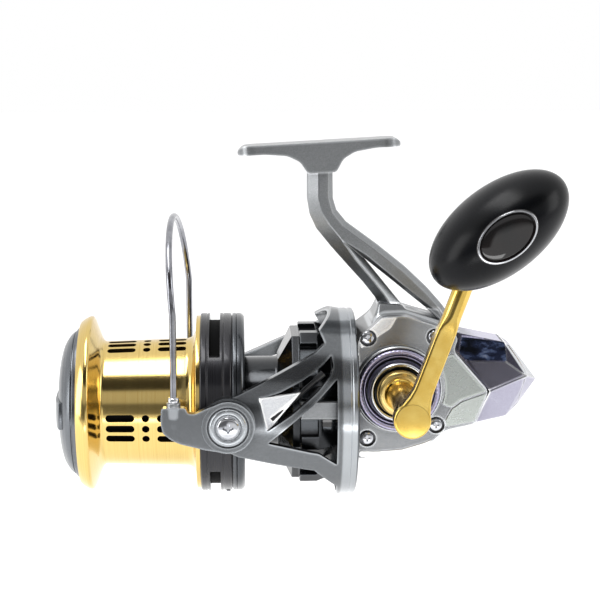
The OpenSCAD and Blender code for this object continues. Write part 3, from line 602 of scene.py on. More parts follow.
def make_drag_knob():
    """The drag knob's stepped cap and the bar across it."""
    low, high = node_box("drag_knob")
    tip, face, rear = low.x, low.x + 1.1, high.x
    cap = turned("drag cap", [
        (face, 0), (face + 0.3, 14, 4), (face + 1.2, 22.5, 3), (face + 2.9, 28.2, 2.5),
        (face + 5.3, 31.8, 1.2), (face + 7.3, 33.4, 0.5), (face + 7.6, 33, 0.1), (face + 8, 33, 0.1),
        (face + 8.3, 34.6, 0.3), (face + 9.9, 35, 0.3), (face + 10.3, 34.6, 0.1), (face + 10.6, 34.6, 0.1),
        (face + 10.9, 36, 0.3), (rear - 3.4, 36.2, 0.3), (rear - 3.4, 14.8), (rear, 14.8), (rear, 10.6),
        (-115, 10.6), (-115, 0)], 38, steps=192, closed=False)
    bar = revolve("bar", [(tip, 0), (tip + 0.2, 10, 2), (tip + 1, 22, 3), (tip + 2.8, 28.4, 0.8),
                          (-112, 28.4), (-112, 0)], closed=False, steps=120)
    outline = eased([(-125, -6), (-125, 6), (-110, 6.6), (-110, -6.6)], 0.1)
    combine(bar, [prism("bar cut", outline, -40, 40)], "INTERSECT")
    place(cap, "drag_knob", "cap_paint", CAP_METAL, "drag_knob")
    place(soften(bar, 0.9, 3, 40), "drag_knob", "cap_paint", CAP_METAL)


# ---- rotor

ARM_OUTLINE = [(-46, 10), (-38, 12.6), (-27.9, 17.4), (-12.2, 25.1), (-3.6, 29.3), (1.5, 33.1),
               (-0.8, 37.9), (4.4, 42.7), (9.7, 50), (16.4, 50), (16.4, -50), (9, -50), (6.8, -33.4),
               (0.1, -26.8), (-3.7, -23), (-21.7, -19.3), (-37.8, -15.4), (-46, -11)]
UPPER_WINDOW = [(-28.2, 11.2), (-19, 13.9), (-8.8, 18.9), (0.1, 24.8), (4.3, 28.6), (5, 24), (3.8, 20.6),
                (-2.1, 13.9), (-13.9, 4), (-24.8, -3.4)]
LOWER_WINDOW = [(-24.6, -9), (-2.8, 9.5), (6.6, 19), (6.6, -20.8), (-1.7, -14.6)]
SHANK_RADIUS = 2.48


def make_rotor():
    """The rotor's hub, eight-sided cup, two open arms with their webs, and the bail's screws."""
    rear = 16.4
    hub = turned("rotor hub", [
        (-44, 18.4), (-44, 21, 0.5), (-19.2, 21.2, 1.5), (-15, 27, 0.8), (-11.5, 29.6, 0.8), (9.2, 30),
        (9.2, 43.0, 0.5), (9.8, 43.5, 0.3), (12.8, 43.5), (13, 43.1), (13.6, 43.1), (13.8, 43.5),
        (15.4, 43.5, 0.5), (rear, 42.6, 0.4), (rear, 37.6), (12.2, 37.6),
        (12.2, 28.6), (-11.5, 28.6), (-15.6, 21.5), (-15.6, 6), (-19.2, 6), (-19.2, 18.4)], 32, steps=192)
    place(hub, "rotor", "dark_paint", ROTOR_DARK, "rotor")

    sides = 8
    cup = revolve("rotor cup", [
        (-19.4, 23), (-13, 36.2), (-9.8, 36.2), (-9.2, 38.1), (-1.4, 38.1), (6.5, 35), (9.2, 35), (9.2, 31),
        (-10.8, 31), (-14.4, 23)], steps=sides, phase=0.5)
    pockets = (((-9.4, -8.6, 32.4), (-1.6, 8.6, 44)), ((0.4, -6.4, 31.6), (4.6, 6.4, 44)))
    combine(cup, [block("pocket", *ends, 360 / sides * k) for k in range(sides) for ends in pockets])
    place(soften(cup, 0.7, 2, 20), "rotor", "dark_paint", ROTOR_DARK)
    sleeve = turned("rotor sleeve", [(-11.2, 28.8), (-11.2, 32, 0.5), (8.8, 32, 0.5), (8.8, 28.8)],
                    steps=128)
    place(sleeve, "rotor", "dark_paint", GLOSS)
    bars = joined("rotor bars", [block("bar", (-9.8, -37.1, -0.5), (8.4, -33, 8.1), turn)
                                 for turn in (0, 180)])
    place(soften(bars, 0.8, 3), "rotor", "dark_paint", GREY_PAINT)

    band = revolve("rotor arm", [(-48, 42.3), (-48, 46.3), (-6, 46.3), (2, 45.0), (9.8, 43.7), (12.8, 43.7),
                                 (13.1, 43.45), (13.7, 43.45), (14, 43.7), (rear - 0.8, 43.65),
                                 (rear - 0.8, 42.3)], steps=256)
    combine(band, [prism("arm side", ARM_OUTLINE, -50, 0.2)], "INTERSECT")
    combine(band, [prism("window", eased(window, 0.9), -60, -5) for window in (UPPER_WINDOW, LOWER_WINDOW)])
    combine(band, [cylinder_y("lobe", PIVOT.x, 0, 12, -47.3, -42.2, 96)], "UNION")
    soften(band, 0.95, 2, 30)
    other = soften(mirrored(band, "rotor arm far"), 0.95, 2, 30)
    place(band, "rotor", "dark_paint", ARM_PAINT)
    place(other, "rotor", "dark_paint", ARM_PAINT)

    corners, thick = [(-28.6, -45.4, 11.6), (-9.8, -42.9, 13.6), (-24.9, -44.9, -4.2)], 1.6
    webs = [loft("web", [[(x, (y + inset) * side, AXIS_Z + up) for x, y, up in corners]
                         for inset in (0, thick)]) for side in (1, -1)]
    # Painted highlight: the webs take the near-white highlight paint to stand for the shine on the arms'
    # sloped inner faces.
    place(soften(joined("arm webs", webs), 0.2, 2), "rotor", "dark_paint", HIGHLIGHT_PAINT)

    seat, shank = node_box("bail_pivot_screws")[0].y + 1.5, (-51.9, -42.7)
    screws = [cross_screw("pivot screw", 4.8, 1.4, (PIVOT.x, seat * side, AXIS_Z), (0, -side, 0))
              for side in (1, -1)]
    shanks = [cylinder_y("screw shank", PIVOT.x, 0, SHANK_RADIUS, shank[0] * side, shank[1] * side, 32)
              for side in (1, -1)]
    both = soften(joined("pivot screws", screws + shanks), 0.12, 2, 35)
    place(both, "rotor", "chrome", CHROME, "bail_pivot_screws")


# ---- bail

BAIL_HALF, BAIL_INNER, LEG_UP, BAIL_TOP = 48.3, 47.65, 50, 87
LEG_X = {-BAIL_HALF: -66, BAIL_HALF: -61.6}


def bail_bore(y0, y1):
    """The hole through a bail arm for its pivot screw."""
    return cylinder_y("bore", PIVOT.x, 0, SHANK_RADIUS + 0.08, y0, y1, 48)


def on_both_legs(name, start, profile):
    """A turned piece round the foot of each of the wire's legs, start being above the spool axis."""
    base = AXIS_Z + start
    return joined(name, [revolve(name[:-1], [(base + up, *rest) for up, *rest in profile], "z", (x, y), 48,
                                 closed=False) for y, x in LEG_X.items()])


def make_bail():
    """The bail's two arms, its wire with holders and collars, and the line roller."""
    outline = eased([(-71.3, 9), (-71.6, 2), (-70.6, -2.4), (-67, -5.4), (-63.2, -7.2), (-52, -10),
                     (-42.1, -11.6), (-42.1, 11), (-47, 10.4), (-51.6, 8.6), (-56.5, 6.2), (-59.8, 6.4),
                     (-60.6, 9)], 1.2)
    arm = prism("bail arm", outline, -51.7, -BAIL_INNER)
    combine(arm, [cylinder_y("lobe", PIVOT.x, 0, 11.6, -51.9, -BAIL_INNER, 96)], "UNION")
    groove = revolve("groove", [(-53, 8.3), (-53, 9.4), (-51.0, 9.2), (-51.0, 8.5)], "y",
                     (PIVOT.x, AXIS_Z), 96)
    combine(arm, [groove, cylinder_y("seat", PIVOT.x, 0, 5.8, -60, -51.25), bail_bore(-60, -40)])
    place(soften(arm, 0.7, 3, 35), "bail", "grey_paint", ARM_PAINT, "bail_arm")

    dish = turned("pivot dish", [
        (-51.3, 5.0), (-51.5, 5.6, 0.1), (-52.2, 6.2, 0.2), (-52.2, 7.6, 0.3), (-51.6, 8.3, 0.2),
        (-50.9, 8.4), (-50.9, 5.0)], about="y", centre=(PIVOT.x, AXIS_Z), steps=128)
    place(dish, "bail", "grey_paint", ARM_PAINT)
    holders = on_both_legs("wire holders", 4, [(0, 0), (0, 3.0, 0.6), (7, 3.25, 0.8), (7, 1.4)])
    place(soften(holders, 0.2, 2, 35), "bail", "grey_paint", GREY_PAINT)

    outline = eased([(-66, 9), (-66, 2), (-56, -5), (-42.1, -10), (-42.1, 10), (-52, 8.6), (-57.4, 9)], 1.2)
    cam = prism("bail cam", outline, BAIL_INNER, 50.9)
    combine(cam, [cylinder_y("lobe", PIVOT.x, 0, 10.6, BAIL_INNER, 50.9, 96)], "UNION")
    combine(cam, [cylinder_y("seat", PIVOT.x, 0, 5.8, 50.4, 60), bail_bore(40, 60)])
    place(soften(cam, 0.7, 3, 35), "bail", "grey_paint", GREY_PAINT, "bail_cam")

    near_x, far_x = LEG_X.values()
    leg_heights = [8] + [12 + 5.5 * k for k in range(4)]
    path = [(near_x + 0.05 * max(0, i - 1), -BAIL_HALF, AXIS_Z + up) for i, up in enumerate(leg_heights)]
    bends, bow, thick = 96, 3.4, 1.5
    for i in range(bends + 1):
        c, s = math.cos(math.pi * i / bends), math.sin(math.pi * i / bends)
        path.append(((near_x + far_x) / 2 - (far_x - near_x) / 2 * c - bow * s, -BAIL_HALF * c,
                     AXIS_Z + LEG_UP + (BAIL_TOP - LEG_UP) * s))
    path += [(far_x, BAIL_HALF, AXIS_Z + up) for up in reversed(leg_heights)]
    wire = soften(sweep("bail wire", path, thick, 28), 0, angle=60)
    place(wire, "bail", "chrome", WIRE_METAL, "bail_wire")
    collars = on_both_legs("wire collars", 11, [(0, 1.52), (0, 2.7, 0.3), (1.6, 2.7, 0.5), (2.2, 2.0, 0.3),
                                                (2.2, 1.52)])
    place(soften(collars, 0, angle=40), "bail", "chrome", CHROME, "wire_collars")

    roller = turned("line roller", [
        (-47.3, 2.63), (-47.3, 5.2, 0.3), (-46.4, 4.4, 0.8), (-45.4, 4, 0.8), (-44.4, 4.4, 0.8),
        (-43.5, 5.2, 0.3), (-43.5, 2.63)], 40, about="y", centre=(ROLLER.x, ROLLER.z), steps=96)
    place(roller, "line_roller", "chrome", CHROME, "line_roller")


# ---- body

CASE = [(17, -22), (37.5, -21.3), (45.9, -18.8), (52.9, -13.8), (57, -9.6), (71.5, -6.5), (77.2, 8.8),
        (60.7, 27.7), (63, 34), (57, 38), (39, 43.8), (28, 43.5), (24.2, 38.8), (17, 33.5)]
COVER_FACE, COVER_SPLIT = -22.0, node_box("side_cover")[1].y
COVER_SCREWS = [(21.5, 34), (21.5, -13), (53.2, -7), (52.1, 34.2)]
# The stem's lines of points [x, height, half width], each name and its first number.
STEM_LINES = {
    ("F", 0): [(-5.4, -3, 2.4), (-5.4, -26, 2.4), (-4.2, -33.4, 2.4), (-1.2, -39.9, 2.4),
        (5.5, -48.2, 2.6), (12.9, -56.6, 2.8), (20.6, -65.1, 3), (26, -71.9, 3.2), (28.1, -75.7, 3.6),
        (27.9, -78.3, 4.4), (24.2, -83, 6), (24.2, -91, 7)],
    ("A", 0): [(-0.3, -3, 6.3), (-0.3, -25.2, 6.4), (1.2, -31.8, 6.5), (4.6, -37.6, 6.6),
        (10.4, -44.8, 6.8), (17.2, -54.6, 6.8), (24.2, -62.9, 6.8), (30.2, -70.4, 7), (33.6, -76, 7.4),
        (35, -81, 8), (35, -85, 8), (35, -91, 8)],
    ("B", 0): [(4, -3, 6.3), (4, -25.2, 6.4), (6.1, -32.6, 6.5), (11.2, -38.9, 6.6), (25.3, -49.1, 6.8),
        (38.8, -59.9, 7), (49.1, -69.7, 7.2), (56, -77.5, 7.8), (62.5, -88.5, 8)],
    ("C", 4): [(21.8, -52.0, 6.8), (33.4, -61.6, 7), (45.2, -71.2, 7.2), (57, -80.8, 7.8)],
    ("R", 0): [(6.2, -3, 2.4), (6.5, -26.1, 2.4), (8.2, -31.6, 2.4), (12.8, -37.2, 2.4),
        (26.7, -47.4, 2.6), (40.2, -58.2, 3), (50.6, -68.1, 3.4), (57.7, -76.1, 4.4), (66, -88.5, 6)],
    ("W", 0): [(20.6, -53.4, 4), (27, -61.3, 4), (33.4, -69.2, 4), (39.8, -77.1, 4.4), (56, -82, 4.4),
        (44.2, -72.5, 4), (32.4, -62.9, 4)],
    ("D", 0): [(44, -85, 8), (58, -88.5, 8)],
}
STEM = {f"{line}{first + i}": point for (line, first), points in STEM_LINES.items()
        for i, point in enumerate(points)}


def strip(a, b, start, stop, shift=0):
    """Faces between two of the stem's lines; shift is how far the second line's numbers are off."""
    return [[f"{a}{i}", f"{a}{i + 1}", f"{b}{i + 1 + shift}", f"{b}{i + shift}"]
            for i in range(start, stop)]


STEM_FACES = (
    strip("F", "A", 0, 11) + strip("A", "B", 0, 4)
    + [["A4", "A5", "W0"], ["A4", "W0", "C4"], ["A4", "C4", "B4"]]
    + strip("A", "W", 5, 8, -5) + [["A8", "A9", "W3"], ["A9", "A10", "D0", "W3"], ["W3", "D0", "D1", "W4"]]
    + [["W4", "D1", "B8", "C7"]] + strip("B", "C", 4, 7) + [["B7", "B8", "C7"]]
    + [["C4", "W0", "W6", "C5"], ["C5", "W6", "W5", "C6"], ["C6", "W5", "W4", "C7"]] + strip("B", "R", 0, 8)
)
STEM_EDGES = ([f"F{i}" for i in range(12)], [f"R{i}" for i in range(9)], [f"W{i % 7}" for i in range(8)])


def make_stem():
    """The stem's two branches, mirrored about the middle plane, with their edges between."""
    place_of = {n: i for i, n in enumerate(STEM)}
    count = len(STEM)
    verts = [(x, half * side, z) for side in (-1, 1) for x, z, half in STEM.values()]
    faces = []
    for face in STEM_FACES:
        near = [place_of[n] for n in face]
        faces += [near, [i + count for i in reversed(near)]]
    for line in STEM_EDGES:
        ends = [place_of[n] for n in line]
        faces += [[i, j, j + count, i + count] for i, j in zip(ends, ends[1:])]
    return soften(tidy_normals(new_object("stem", verts, faces), fill=True), 0.6, 3, 12)


def make_foot():
    """The rod foot: a side outline cut to a round-ended plan, then tilted."""
    half_l, half_w, tilt = 37.5, 8.25, -3.2
    outline = eased([(-half_l, -4.2), (-half_l, -2.4), (-half_l + 2.6, 0), (half_l - 2.6, 0), (half_l, -2.4),
                     (half_l, -4.2), (26, -3.9), (16, -5.2), (10.5, -8.2), (7, -14), (-6, -14), (-9.4, -8.4),
                     (-15, -5.4), (-25, -4.2)], 1.6)
    foot = prism("foot", outline, -half_w - 1, half_w + 1, 0)
    steps, rim = 24, []
    for side in (1, -1):
        for k in range(steps + 1):
            a = math.pi * (k / steps - 0.5)
            rim.append((side * (half_l - half_w + half_w * math.cos(a)), side * half_w * math.sin(a)))
    combine(foot, [loft("plan", [[(x, y, z) for x, y in rim] for z in (-20, 10)])], "INTERSECT")
    foot.data.transform(Matrix.Rotation(math.radians(tilt), 4, "Y"))
    return soften(foot, 0.7, 3, 30)


def shaft_space():
    """The hollow that the main shaft's rear end and the slider block run in."""
    return [block("shaft space", (20, -13.1, -4.5), (83.4, 16.2, 6)),
            block("slider space", (20, -13.1, 5.5), (83.4, 11.6, 15))]


def stem_window():
    """A cutter for the gap between the stem's two branches."""
    return prism("window", [STEM[n][:2] for n in ("W0", "W3", "W4")], -30, 30, 0)


def make_casting():
    """The body frame: gear case, front, shoulder, foot and stem."""
    case = prism("gear case", eased(CASE, 2.2), COVER_SPLIT, 18.9)
    combine(case, [stem_window(), *shaft_space()])
    soften(case, 1.2, 3, 30)
    front = turned("body front", [(-3, 0), (-3, 26.4, 0.6), (13.5, 26.4), (13.5, 34, 0.8), (17.4, 34, 0.4),
                                  (17.4, 0)], closed=False)
    place(front, "body", "grey_paint", BLACK)
    shoulder = hull("shoulder", [(x, y, AXIS_Z + up) for y in (COVER_SPLIT + 1.2, 17)
                                 for x, up in ((22, 34), (60, 30), (60, 34), (26, 38))]
                    + [(x, y, z) for y in (-8, 8)
                       for x, z in ((27.5, -74), (27, -79), (56, -79), (55, -77))])
    combine(shoulder, [stem_window()])
    soften(shoulder, 0.8, 3, 20)
    foot, stem = make_foot(), make_stem()
    place(foot, "body", "grey_paint", GREY_PAINT, "body_frame")
    for piece in (stem, case, shoulder):
        place(piece, "body", "grey_paint", GREY_PAINT)


def make_side_cover():
    """The cover on the crank's side, with its boss, panels, ribs and screws."""
    def raised(name, outline, size, height):
        return prism(name, eased(outline, size), COVER_FACE - height, COVER_FACE + 1)

    def well(x, up, y1):
        return cylinder_y("well", x, up, 3.9, -30, y1, 48)

    cover = prism("side cover", eased(CASE, 2.6), COVER_FACE, COVER_SPLIT + 0.2)
    combine(cover, [well(x, up, -20.2) for x, up in COVER_SCREWS])
    soften(cover, 1.3, 4, 30)
    place(cover, "body", "silver_paint", COVER_PAINT, "side_cover")
    boss = crank_turned("cover boss", [
        (-20, 15), (-20, 20.2), (-24.4, 20.2, 0.5), (-25.0, 19.5, 0.2), (-25.0, 19.2, 0.1), (-24.2, 19.0),
        (-24.2, 16.2), (-20, 16.2), (-20, 15)])
    place(boss, "body", "silver_paint", COVER_PAINT)
    step = crank_turned("boss step", [
        (-20, 14.6), (-24.2, 14.6), (-25.4, 15.1, 0.2), (-26.2, 15.5, 0.3), (-26.2, 16.0, 0.2),
        (-25, 16.4, 0.2), (-20, 16.4)])
    place(step, "body", "silver_paint", LAVENDER)

    edge_radius = 21.6
    turns = [math.radians(38 - 86 * k / 12) for k in range(9)]
    round_edge = [(CRANK.x + edge_radius * math.cos(a), CRANK_UP + edge_radius * math.sin(a)) for a in turns]
    upper = round_edge + [(59.6, 1.4), (64.2, 4.9), (75.9, 9.0), (60.6, 26.2)]
    lower = [(57.4, -4.9), (60.3, 0.4), (64.7, 3.7), (76.0, 7.7), (70.6, -5.2), (58.2, -7.6)]
    panels = joined("side panels", [raised("panel", upper, 0.5, 1.0), raised("panel", lower, 0.5, 0.8)])
    place(soften(panels, 0.45, 2, 30), "body", "silver_paint", PANEL_PAINT)
    front_rib = raised("cover rib", [(28.2, 43.2), (34.6, 43.6), (31.6, 38.4), (25.2, 34.2), (18.4, 29.2),
                                     (17.6, 34.5), (23.6, 38.8)], 1.0, 1.0)
    combine(front_rib, [well(*COVER_SCREWS[0], -19)])
    low_rib = raised("cover rib", [(18, -21.3), (37.3, -20.6), (45.5, -18.1), (51.6, -13.8), (47, -15.6),
                                   (37.5, -18.4), (26, -19.2), (18, -19)], 0.8, 0.7)
    ribs = joined("cover ribs", [front_rib, low_rib])
    # Painted highlight: the ribs take the near-white highlight paint to stand for the bright edge lines
    # along the cover.
    place(soften(ribs, 0.5, 2, 30), "body", "silver_paint", HIGHLIGHT_PAINT)
    floor = crank_turned("boss floor", [(-24.3, 4.4), (-24.3, 15), (-20, 15), (-20, 4.4)], 96)
    place(floor, "body", "silver_paint", BLACK)

    screws = [cross_screw("cover screw", 3.0, 1.3, (x, COVER_FACE + 1.1, AXIS_Z + up), (0, -1, 0))
              for x, up in COVER_SCREWS]
    place(soften(joined("cover screws", screws), 0.1, 2, 35), "body", "chrome", CHROME, "side_cover_screws")


def make_crank_rings():
    """The trim ring and collar round the crank, and the cap on the far side."""
    flutes, flute_depth = 60, 0.12
    trim = crank_turned("trim ring", [
        (-25.0, 16.6), (-25.0, 18.8), (-26.6, 18.8, 0.3), (-27.35, 18.2, 0.3), (-27.35, 17.4, 0.3),
        (-26.8, 16.6, 0.3)], 240,
        scallop=lambda a, y: flute_depth * math.sin(a * flutes) if y < -26.5 else 0)
    place(trim, "body", "chrome", LAVENDER, "trim_ring")
    collar = crank_turned("hub collar", [
        (-25.0, 11.4), (-25.0, 14.4, 0.2), (-27, 14.4, 0.5), (-28, 13.8, 0.3), (-30.2, 13.6, 0.5),
        (-31, 13, 0.3), (-31, 12.3, 0.3), (-30.4, 11.4)], angle=40)
    place(collar, "body", "chrome", CHROME, "hub_collar")
    cap = revolve("far cap", [
        (18.6, 0), (18.6, 12.4), (21, 12.4, 0.3), (22.6, 12.4, 0.6), (23.8, 10.6, 0.8), (23.6, 8),
        (23.2, 7.6), (23.2, 6.4), (23.6, 6), (24, 0)], "y", (CRANK.x, CRANK.z), 120, closed=False)
    combine(cap, [block("coin slot", (CRANK.x - 7, 22.8, CRANK_UP - 0.8),
                        (CRANK.x + 7, 25, CRANK_UP + 0.8))])
    place(soften(cap, 0.15, 2, 40), "body", "cap_paint", DARK_PAINT, "far_side_cap")


TAIL = [(60, 34.5), (66.2, 32), (85.6, 29.2), (89.9, 26.5), (101.1, 11.7), (97, 9.4), (93, -0.3),
        (88.4, -5.1), (70, -9)]
TAIL_LEVELS = [(9, TAIL), (22.6, [(60, 10.5), (77.2, 9.8), (77.2, 7.8), (60, 8)]),
               (16.5, [(94.5, 15.6), (96, 14.4), (94, 13)]),
               (17, [(64, -6), (87, -2.4), (86, -4), (70, -7.6)])]
TAIL_SEAM = [(40, 60), (61.4, 36), (61, 27.9), (77.5, 8.9), (71.8, -6.6), (60, -14), (40, -20)]
TAIL_LINES = [
    [(77.8, 8.9), (84, 11), (90, 13), (95.4, 14.6)], [(61.6, 24.6), (64.8, 22.6), (68.6, 21.9), (86, 20.9)],
    [(86, 20.9), (90, 18.2), (94.8, 14.9)], [(66, 32.3), (76, 31), (86.4, 29.6)],
    [(86.3, 29.3), (86.3, 21.2)], [(86.6, 29.4), (91.5, 22.5), (95.6, 15.8)], [(94.6, 13.2), (92, 0.4)],
    [(92, 0.4), (87.6, -4.0)]]
INLAY_SIDE = [(66, 31.9), (86.1, 29.2), (86.3, 21.2), (67.8, 22), (64.4, 25.2)]


def tail_form(name, extra=0.0):
    """The tail's faceted body, as outlines at several half widths with a skin round them."""
    return hull(name, [(x, side * (half + extra), AXIS_Z + up)
                       for half, outline in TAIL_LEVELS for x, up in outline for side in (-1, 1)])


def tail_paint(face):
    """Which of the tail's three paints a face takes: body, painted highlight facet or rim."""
    x, y, z = face.center / MM
    up = z - AXIS_Z
    if x > 86 and up > 13.5 and up > 20 - 1.6 * (x - 86) and abs(y) > 2:
        return 1
    return 2 if up > 20.9 and x < 86.2 else 0


def make_tail():
    """The faceted rear cover with grooves along its edges, and the inlays on both sides."""
    tail = tail_form("tail cover")
    combine(tail, [prism("seam", TAIL_SEAM, -40, 40), *shaft_space()])
    skin = BVHTree.FromObject(tail, bpy.context.evaluated_depsgraph_get())

    def on_skin(x, up, side):
        hit = skin.ray_cast(Vector((x, side * 60, AXIS_Z + up)) * MM, Vector((0, -side, 0)))[0]
        return (x, hit.y / MM if hit else side * 12, AXIS_Z + up)

    grooves, depth, pieces = [], 0.42, 4
    for side in (-1, 1):
        for line in TAIL_LINES:
            path = [on_skin(x0 + (x1 - x0) * k / pieces, u0 + (u1 - u0) * k / pieces, side)
                    for (x0, u0), (x1, u1) in zip(line, line[1:]) for k in range(pieces)]
            grooves.append(sweep("line", path + [on_skin(*line[-1], side)], depth, 8))
    for groove in grooves:
        combine(tail, [groove])
    soften(tail, 0, angle=14)
    place(tail, "body", "silver_paint", SILVER_PAINT, "rear_cover")
    # Painted highlight: the upper rear facet takes the near-white highlight paint (index 1).
    tail.data.materials.append(HIGHLIGHT_PAINT)
    tail.data.materials.append(RIM_PAINT)
    for face in tail.data.polygons:
        face.material_index = tail_paint(face)
    inlay = tail_form("tail inlays", 0.45)
    combine(inlay, [prism("inlay side", eased(INLAY_SIDE, 0.8), -40, 40)], "INTERSECT")
    place(soften(inlay, 0.25, 2, 14), "body", "inlay", INLAY, "rear_cover_inlays")


# ---- handle

# Sections of the arm: distance from the crank's axis, half width, half depth, and squareness.
ARM_SECTIONS = [
    (1, 6.9, 3.5, 9), (5, 6.3, 3.5, 9), (9, 4.9, 3.5, 9), (13, 4.15, 3.5, 9), (20, 4.07, 3.5, 9),
    (36, 4.07, 3.5, 9), (40, 4.05, 3.6, 8), (42.5, 4.0, 3.8, 5), (44.5, 4.0, 3.95, 3), (47, 4, 4, 2),
    (60, 4, 4, 2), (76, 4.1, 4.1, 2), (82, 4.6, 4.0, 2.4)]


def oval_ring(z, half_x, half_y, power, y_mid, steps=64):
    """A ring between a round and a rectangle, in the plane across the arm."""
    out = []
    for k in range(steps):
        c, s = math.cos(2 * math.pi * k / steps), math.sin(2 * math.pi * k / steps)
        out.append((half_x * math.copysign(abs(c) ** (2 / power), c),
                    y_mid + half_y * math.copysign(abs(s) ** (2 / power), s), z))
    return out


def make_handle():
    """The crank's flange, shank and arm, the arm changing from a flat bar to a round one."""
    flange = crank_turned("gold flange", [
        (-35.2, 0), (-35.2, 8.6, 0.5), (-34.4, 10.1, 0.6), (-32.2, 10.6, 0.5), (-31.6, 10.6), (-31.6, 0)],
        angle=40, closed=False)
    place(flange, "crank", "gold", GOLD_DISC, "handle_flange")
    inner = node_box("handle_arm")[0].y
    back, mid = inner + 8, inner + 3.62
    shank = crank_turned("gold shank", [
        (-35.2, 0), (-35.2, 7.4), (-37, 6.4, 1.2), (-40, 5.8, 1), (-70, 5.6, 1), (-73.6, 6.6, 1),
        (back, 7.4), (back, 0)], 96, 40, closed=False)
    place(shank, "crank", "gold", GOLD_POLISHED, "handle_shank")

    run = KNOB - CRANK
    throw = math.hypot(run.x, run.z)
    lean = Matrix.Rotation(math.atan2(run.x, run.z), 4, "Y")
    from_crank = Matrix.Translation((CRANK.x, 0, CRANK.z)) @ lean
    bar = loft("arm bar", [[from_crank @ Vector(p) for p in oval_ring(*section, mid)]
                           for section in ARM_SECTIONS + [(throw, 5.2, 3.8, 3)]])
    hub_disc = crank_turned("arm hub", [
        (inner + 0.08, 0), (inner + 0.08, 7.3, 0.5), (inner + 0.7, 7.9, 0.4), (back - 0.8, 7.9, 0.5),
        (back, 7.3), (back, 0)], 128, 40, closed=False)
    eye = turned("arm eye", [
        (inner + 0.05, 0), (inner + 0.05, 5.4, 0.6), (inner + 1, 6.2, 0.6), (back - 1, 6.2, 0.6),
        (back, 5.4), (back, 0)], 40, about="y", centre=(KNOB.x, KNOB.z), steps=96, closed=False)
    place(soften(bar, 0.3, 2, 50), "crank", "gold", GOLD_POLISHED, "handle_arm")
    place(hub_disc, "crank", "gold", GOLD_POLISHED)
    place(eye, "crank", "gold", GOLD_POLISHED)


KNOB_STEPS = 128


def knob_ring(y, half_l, half_w):
    """An oval ring round the knob's axis, leaning as the knob does."""
    lean = Matrix.Rotation(math.radians(-38), 3, "Y")
    turns = [2 * math.pi * k / KNOB_STEPS for k in range(KNOB_STEPS)]
    return [Vector((KNOB.x, y, KNOB.z)) + lean @ Vector((half_l * math.cos(a), 0, half_w * math.sin(a)))
            for a in turns]


def make_knob():
    """The oval knob and its domed cap with a bright rim."""
    low, high = node_box("knob_body")
    half_l, half_w, rings = 32.1, 17.6, 56
    fullness = [(i / rings, math.sqrt(1 - (1.86 * i / rings - 0.93) ** 2)) for i in range(rings + 1)]
    body = loft("knob", [knob_ring(high.y + (low.y - high.y) * t, half_l * size, half_w * size)
                         for t, size in fullness], first=False)
    place(soften(body, 0, angle=50), "handle_knob", "soft_black", RUBBER, "knob_body")

    base, half_l, half_w = node_box("knob_cap")[1].y, 13.4, 8.6
    profile = [(0.0, 1.0), (0.8, 1.0), (1.15, 0.975), (1.3, 0.95), (1.3, 0.92), (0.8, 0.89), (0.3, 0.86)]
    dome_steps = 24
    for k in range(1, dome_steps):
        a = math.pi / 2 * k / dome_steps
        profile.append((0.3 + 1.08 * math.sin(a), 0.86 * math.cos(a)))
    profile.append((1.38, 0.002))
    cap = loft("knob cap", [knob_ring(base - rise, half_l * size, half_w * size) for rise, size in profile],
               first=False, last=False)
    place(soften(cap, 0, angle=40), "handle_knob", "gloss_black", GLOSS, "knob_cap")
    cap.data.materials.append(CHROME)
    rim_first, rim_last = 2, 4
    for poly in cap.data.polygons:
        if rim_first <= poly.index // KNOB_STEPS < rim_last:
            poly.material_index = 1


# ---- set

WHITE = (1.0, 1.0, 1.0, 1)
# Heights of the studio's cards as seen from the reel (0 straight down, 1 straight up) and their light.
CARDS = [(0.0, 0.95), (0.395, 0.88), (0.413, 0.16), (0.57, 0.14), (0.6, 0.52), (0.76, 0.58), (0.785, 0.04),
         (0.935, 0.04), (0.955, 0.95), (1.0, 1.05)]
LOW_CARD = [(0.26, (0, 0, 0)), (0.34, (1, 1, 1)), (0.465, (1, 1, 1)), (0.53, (0, 0, 0))]


def make_floor():
    """A pale floor that reaches behind the reel."""
    reach, front, level = 6.0, -0.42, CAD_LOW.z - 0.13
    mesh = bpy.data.meshes.new("floor")
    mesh.from_pydata([(x, y, level) for y in (front, reach) for x in (-reach, reach)], [], [(0, 1, 3, 2)])
    floor = linked("floor", mesh)
    s = Shader("pale floor")
    tint = s.ramp(s.noise(s.place, 30.0, 4.0), [(0.3, (0.93, 0.93, 0.93)), (0.7, (0.96, 0.96, 0.96))])
    mesh.materials.append(s.set(Base_Color=tint, Roughness=0.9, Emission_Strength=0.32,
                                Emission_Color=WHITE))


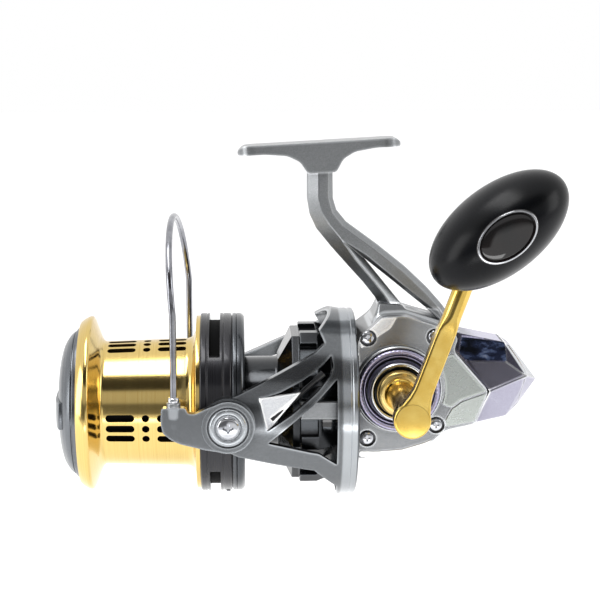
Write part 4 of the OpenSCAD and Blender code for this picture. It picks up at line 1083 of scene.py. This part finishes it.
def make_lights():
    """Four softboxes round the reel's middle."""
    middle = (CAD_LOW + CAD_HIGH) / 2
    for name, offset, width, height, power in (
            ("key", (-0.3, -0.12, 1.15), 0.9, 0.4, 6), ("low", (-0.1, -1.0, -0.5), 0.9, 0.25, 2.5),
            ("left", (-1.1, -0.35, 0.25), 0.5, 0.9, 4.5), ("right", (1.2, -0.3, 0.45), 0.5, 0.8, 3)):
        light = bpy.data.lights.new(name, "AREA")
        light.shape, light.size, light.size_y, light.energy = "RECTANGLE", width, height, power
        obj = linked(name, light)
        obj.location = middle + Vector(offset)
        obj.rotation_mode = "QUATERNION"
        obj.rotation_quaternion = (-Vector(offset)).to_track_quat("-Z", "Y")


def make_world():
    """White behind the reel, and light and dark cards in front for its metals to reflect."""
    world = bpy.data.worlds.new("studio")
    bpy.context.scene.world = world
    world.use_nodes = True
    s = Nodes(world.node_tree)
    way = s.node("SeparateXYZ", Vector=s.node("TexCoord").outputs["Generated"]).outputs
    height = s.node("MapRange", From_Min=-1, Value=way["Z"]).outputs[0]
    cards = s.ramp(height, [(at, (light, light, light * 1.01)) for at, light in CARDS])
    behind = s.fade(way["Y"], -0.45, -0.15)
    to_right = s.fade(way["X"], -0.045, 0.03)
    low_card = s.maths("Math", "MULTIPLY", to_right, s.ramp(height, LOW_CARD)).outputs[0]
    front = s.mix(low_card, cards, (0.92, 0.92, 0.92, 1))
    around = s.mix(behind, front, WHITE)
    seen = s.mix(s.node("LightPath").outputs["Is Camera Ray"], around, WHITE)
    s.feed(world.node_tree.nodes["Background"].inputs["Color"], seen)


def make_camera():
    """The photograph's view, from slightly above and in front of the reel's side."""
    camera = bpy.data.cameras.new("camera")
    camera.lens, camera.sensor_width = 96.0, 36.0
    camera.clip_start, camera.clip_end = 0.05, 30
    eye = linked("camera", camera)
    eye.location = Vector((-36.6, -734.5, 51.1)) * MM
    eye.rotation_mode = "QUATERNION"
    eye.rotation_quaternion = Vector((0.0376, 0.9851, -0.1676)).to_track_quat("-Z", "Y")
    bpy.context.scene.camera = eye
    bpy.context.scene.view_settings.view_transform = "Standard"


make_spool()
make_drag_knob()
make_rotor()
make_bail()
make_casting()
make_side_cover()
make_crank_rings()
make_tail()
make_handle()
make_knob()
make_floor()
make_lights()
make_world()
make_camera()
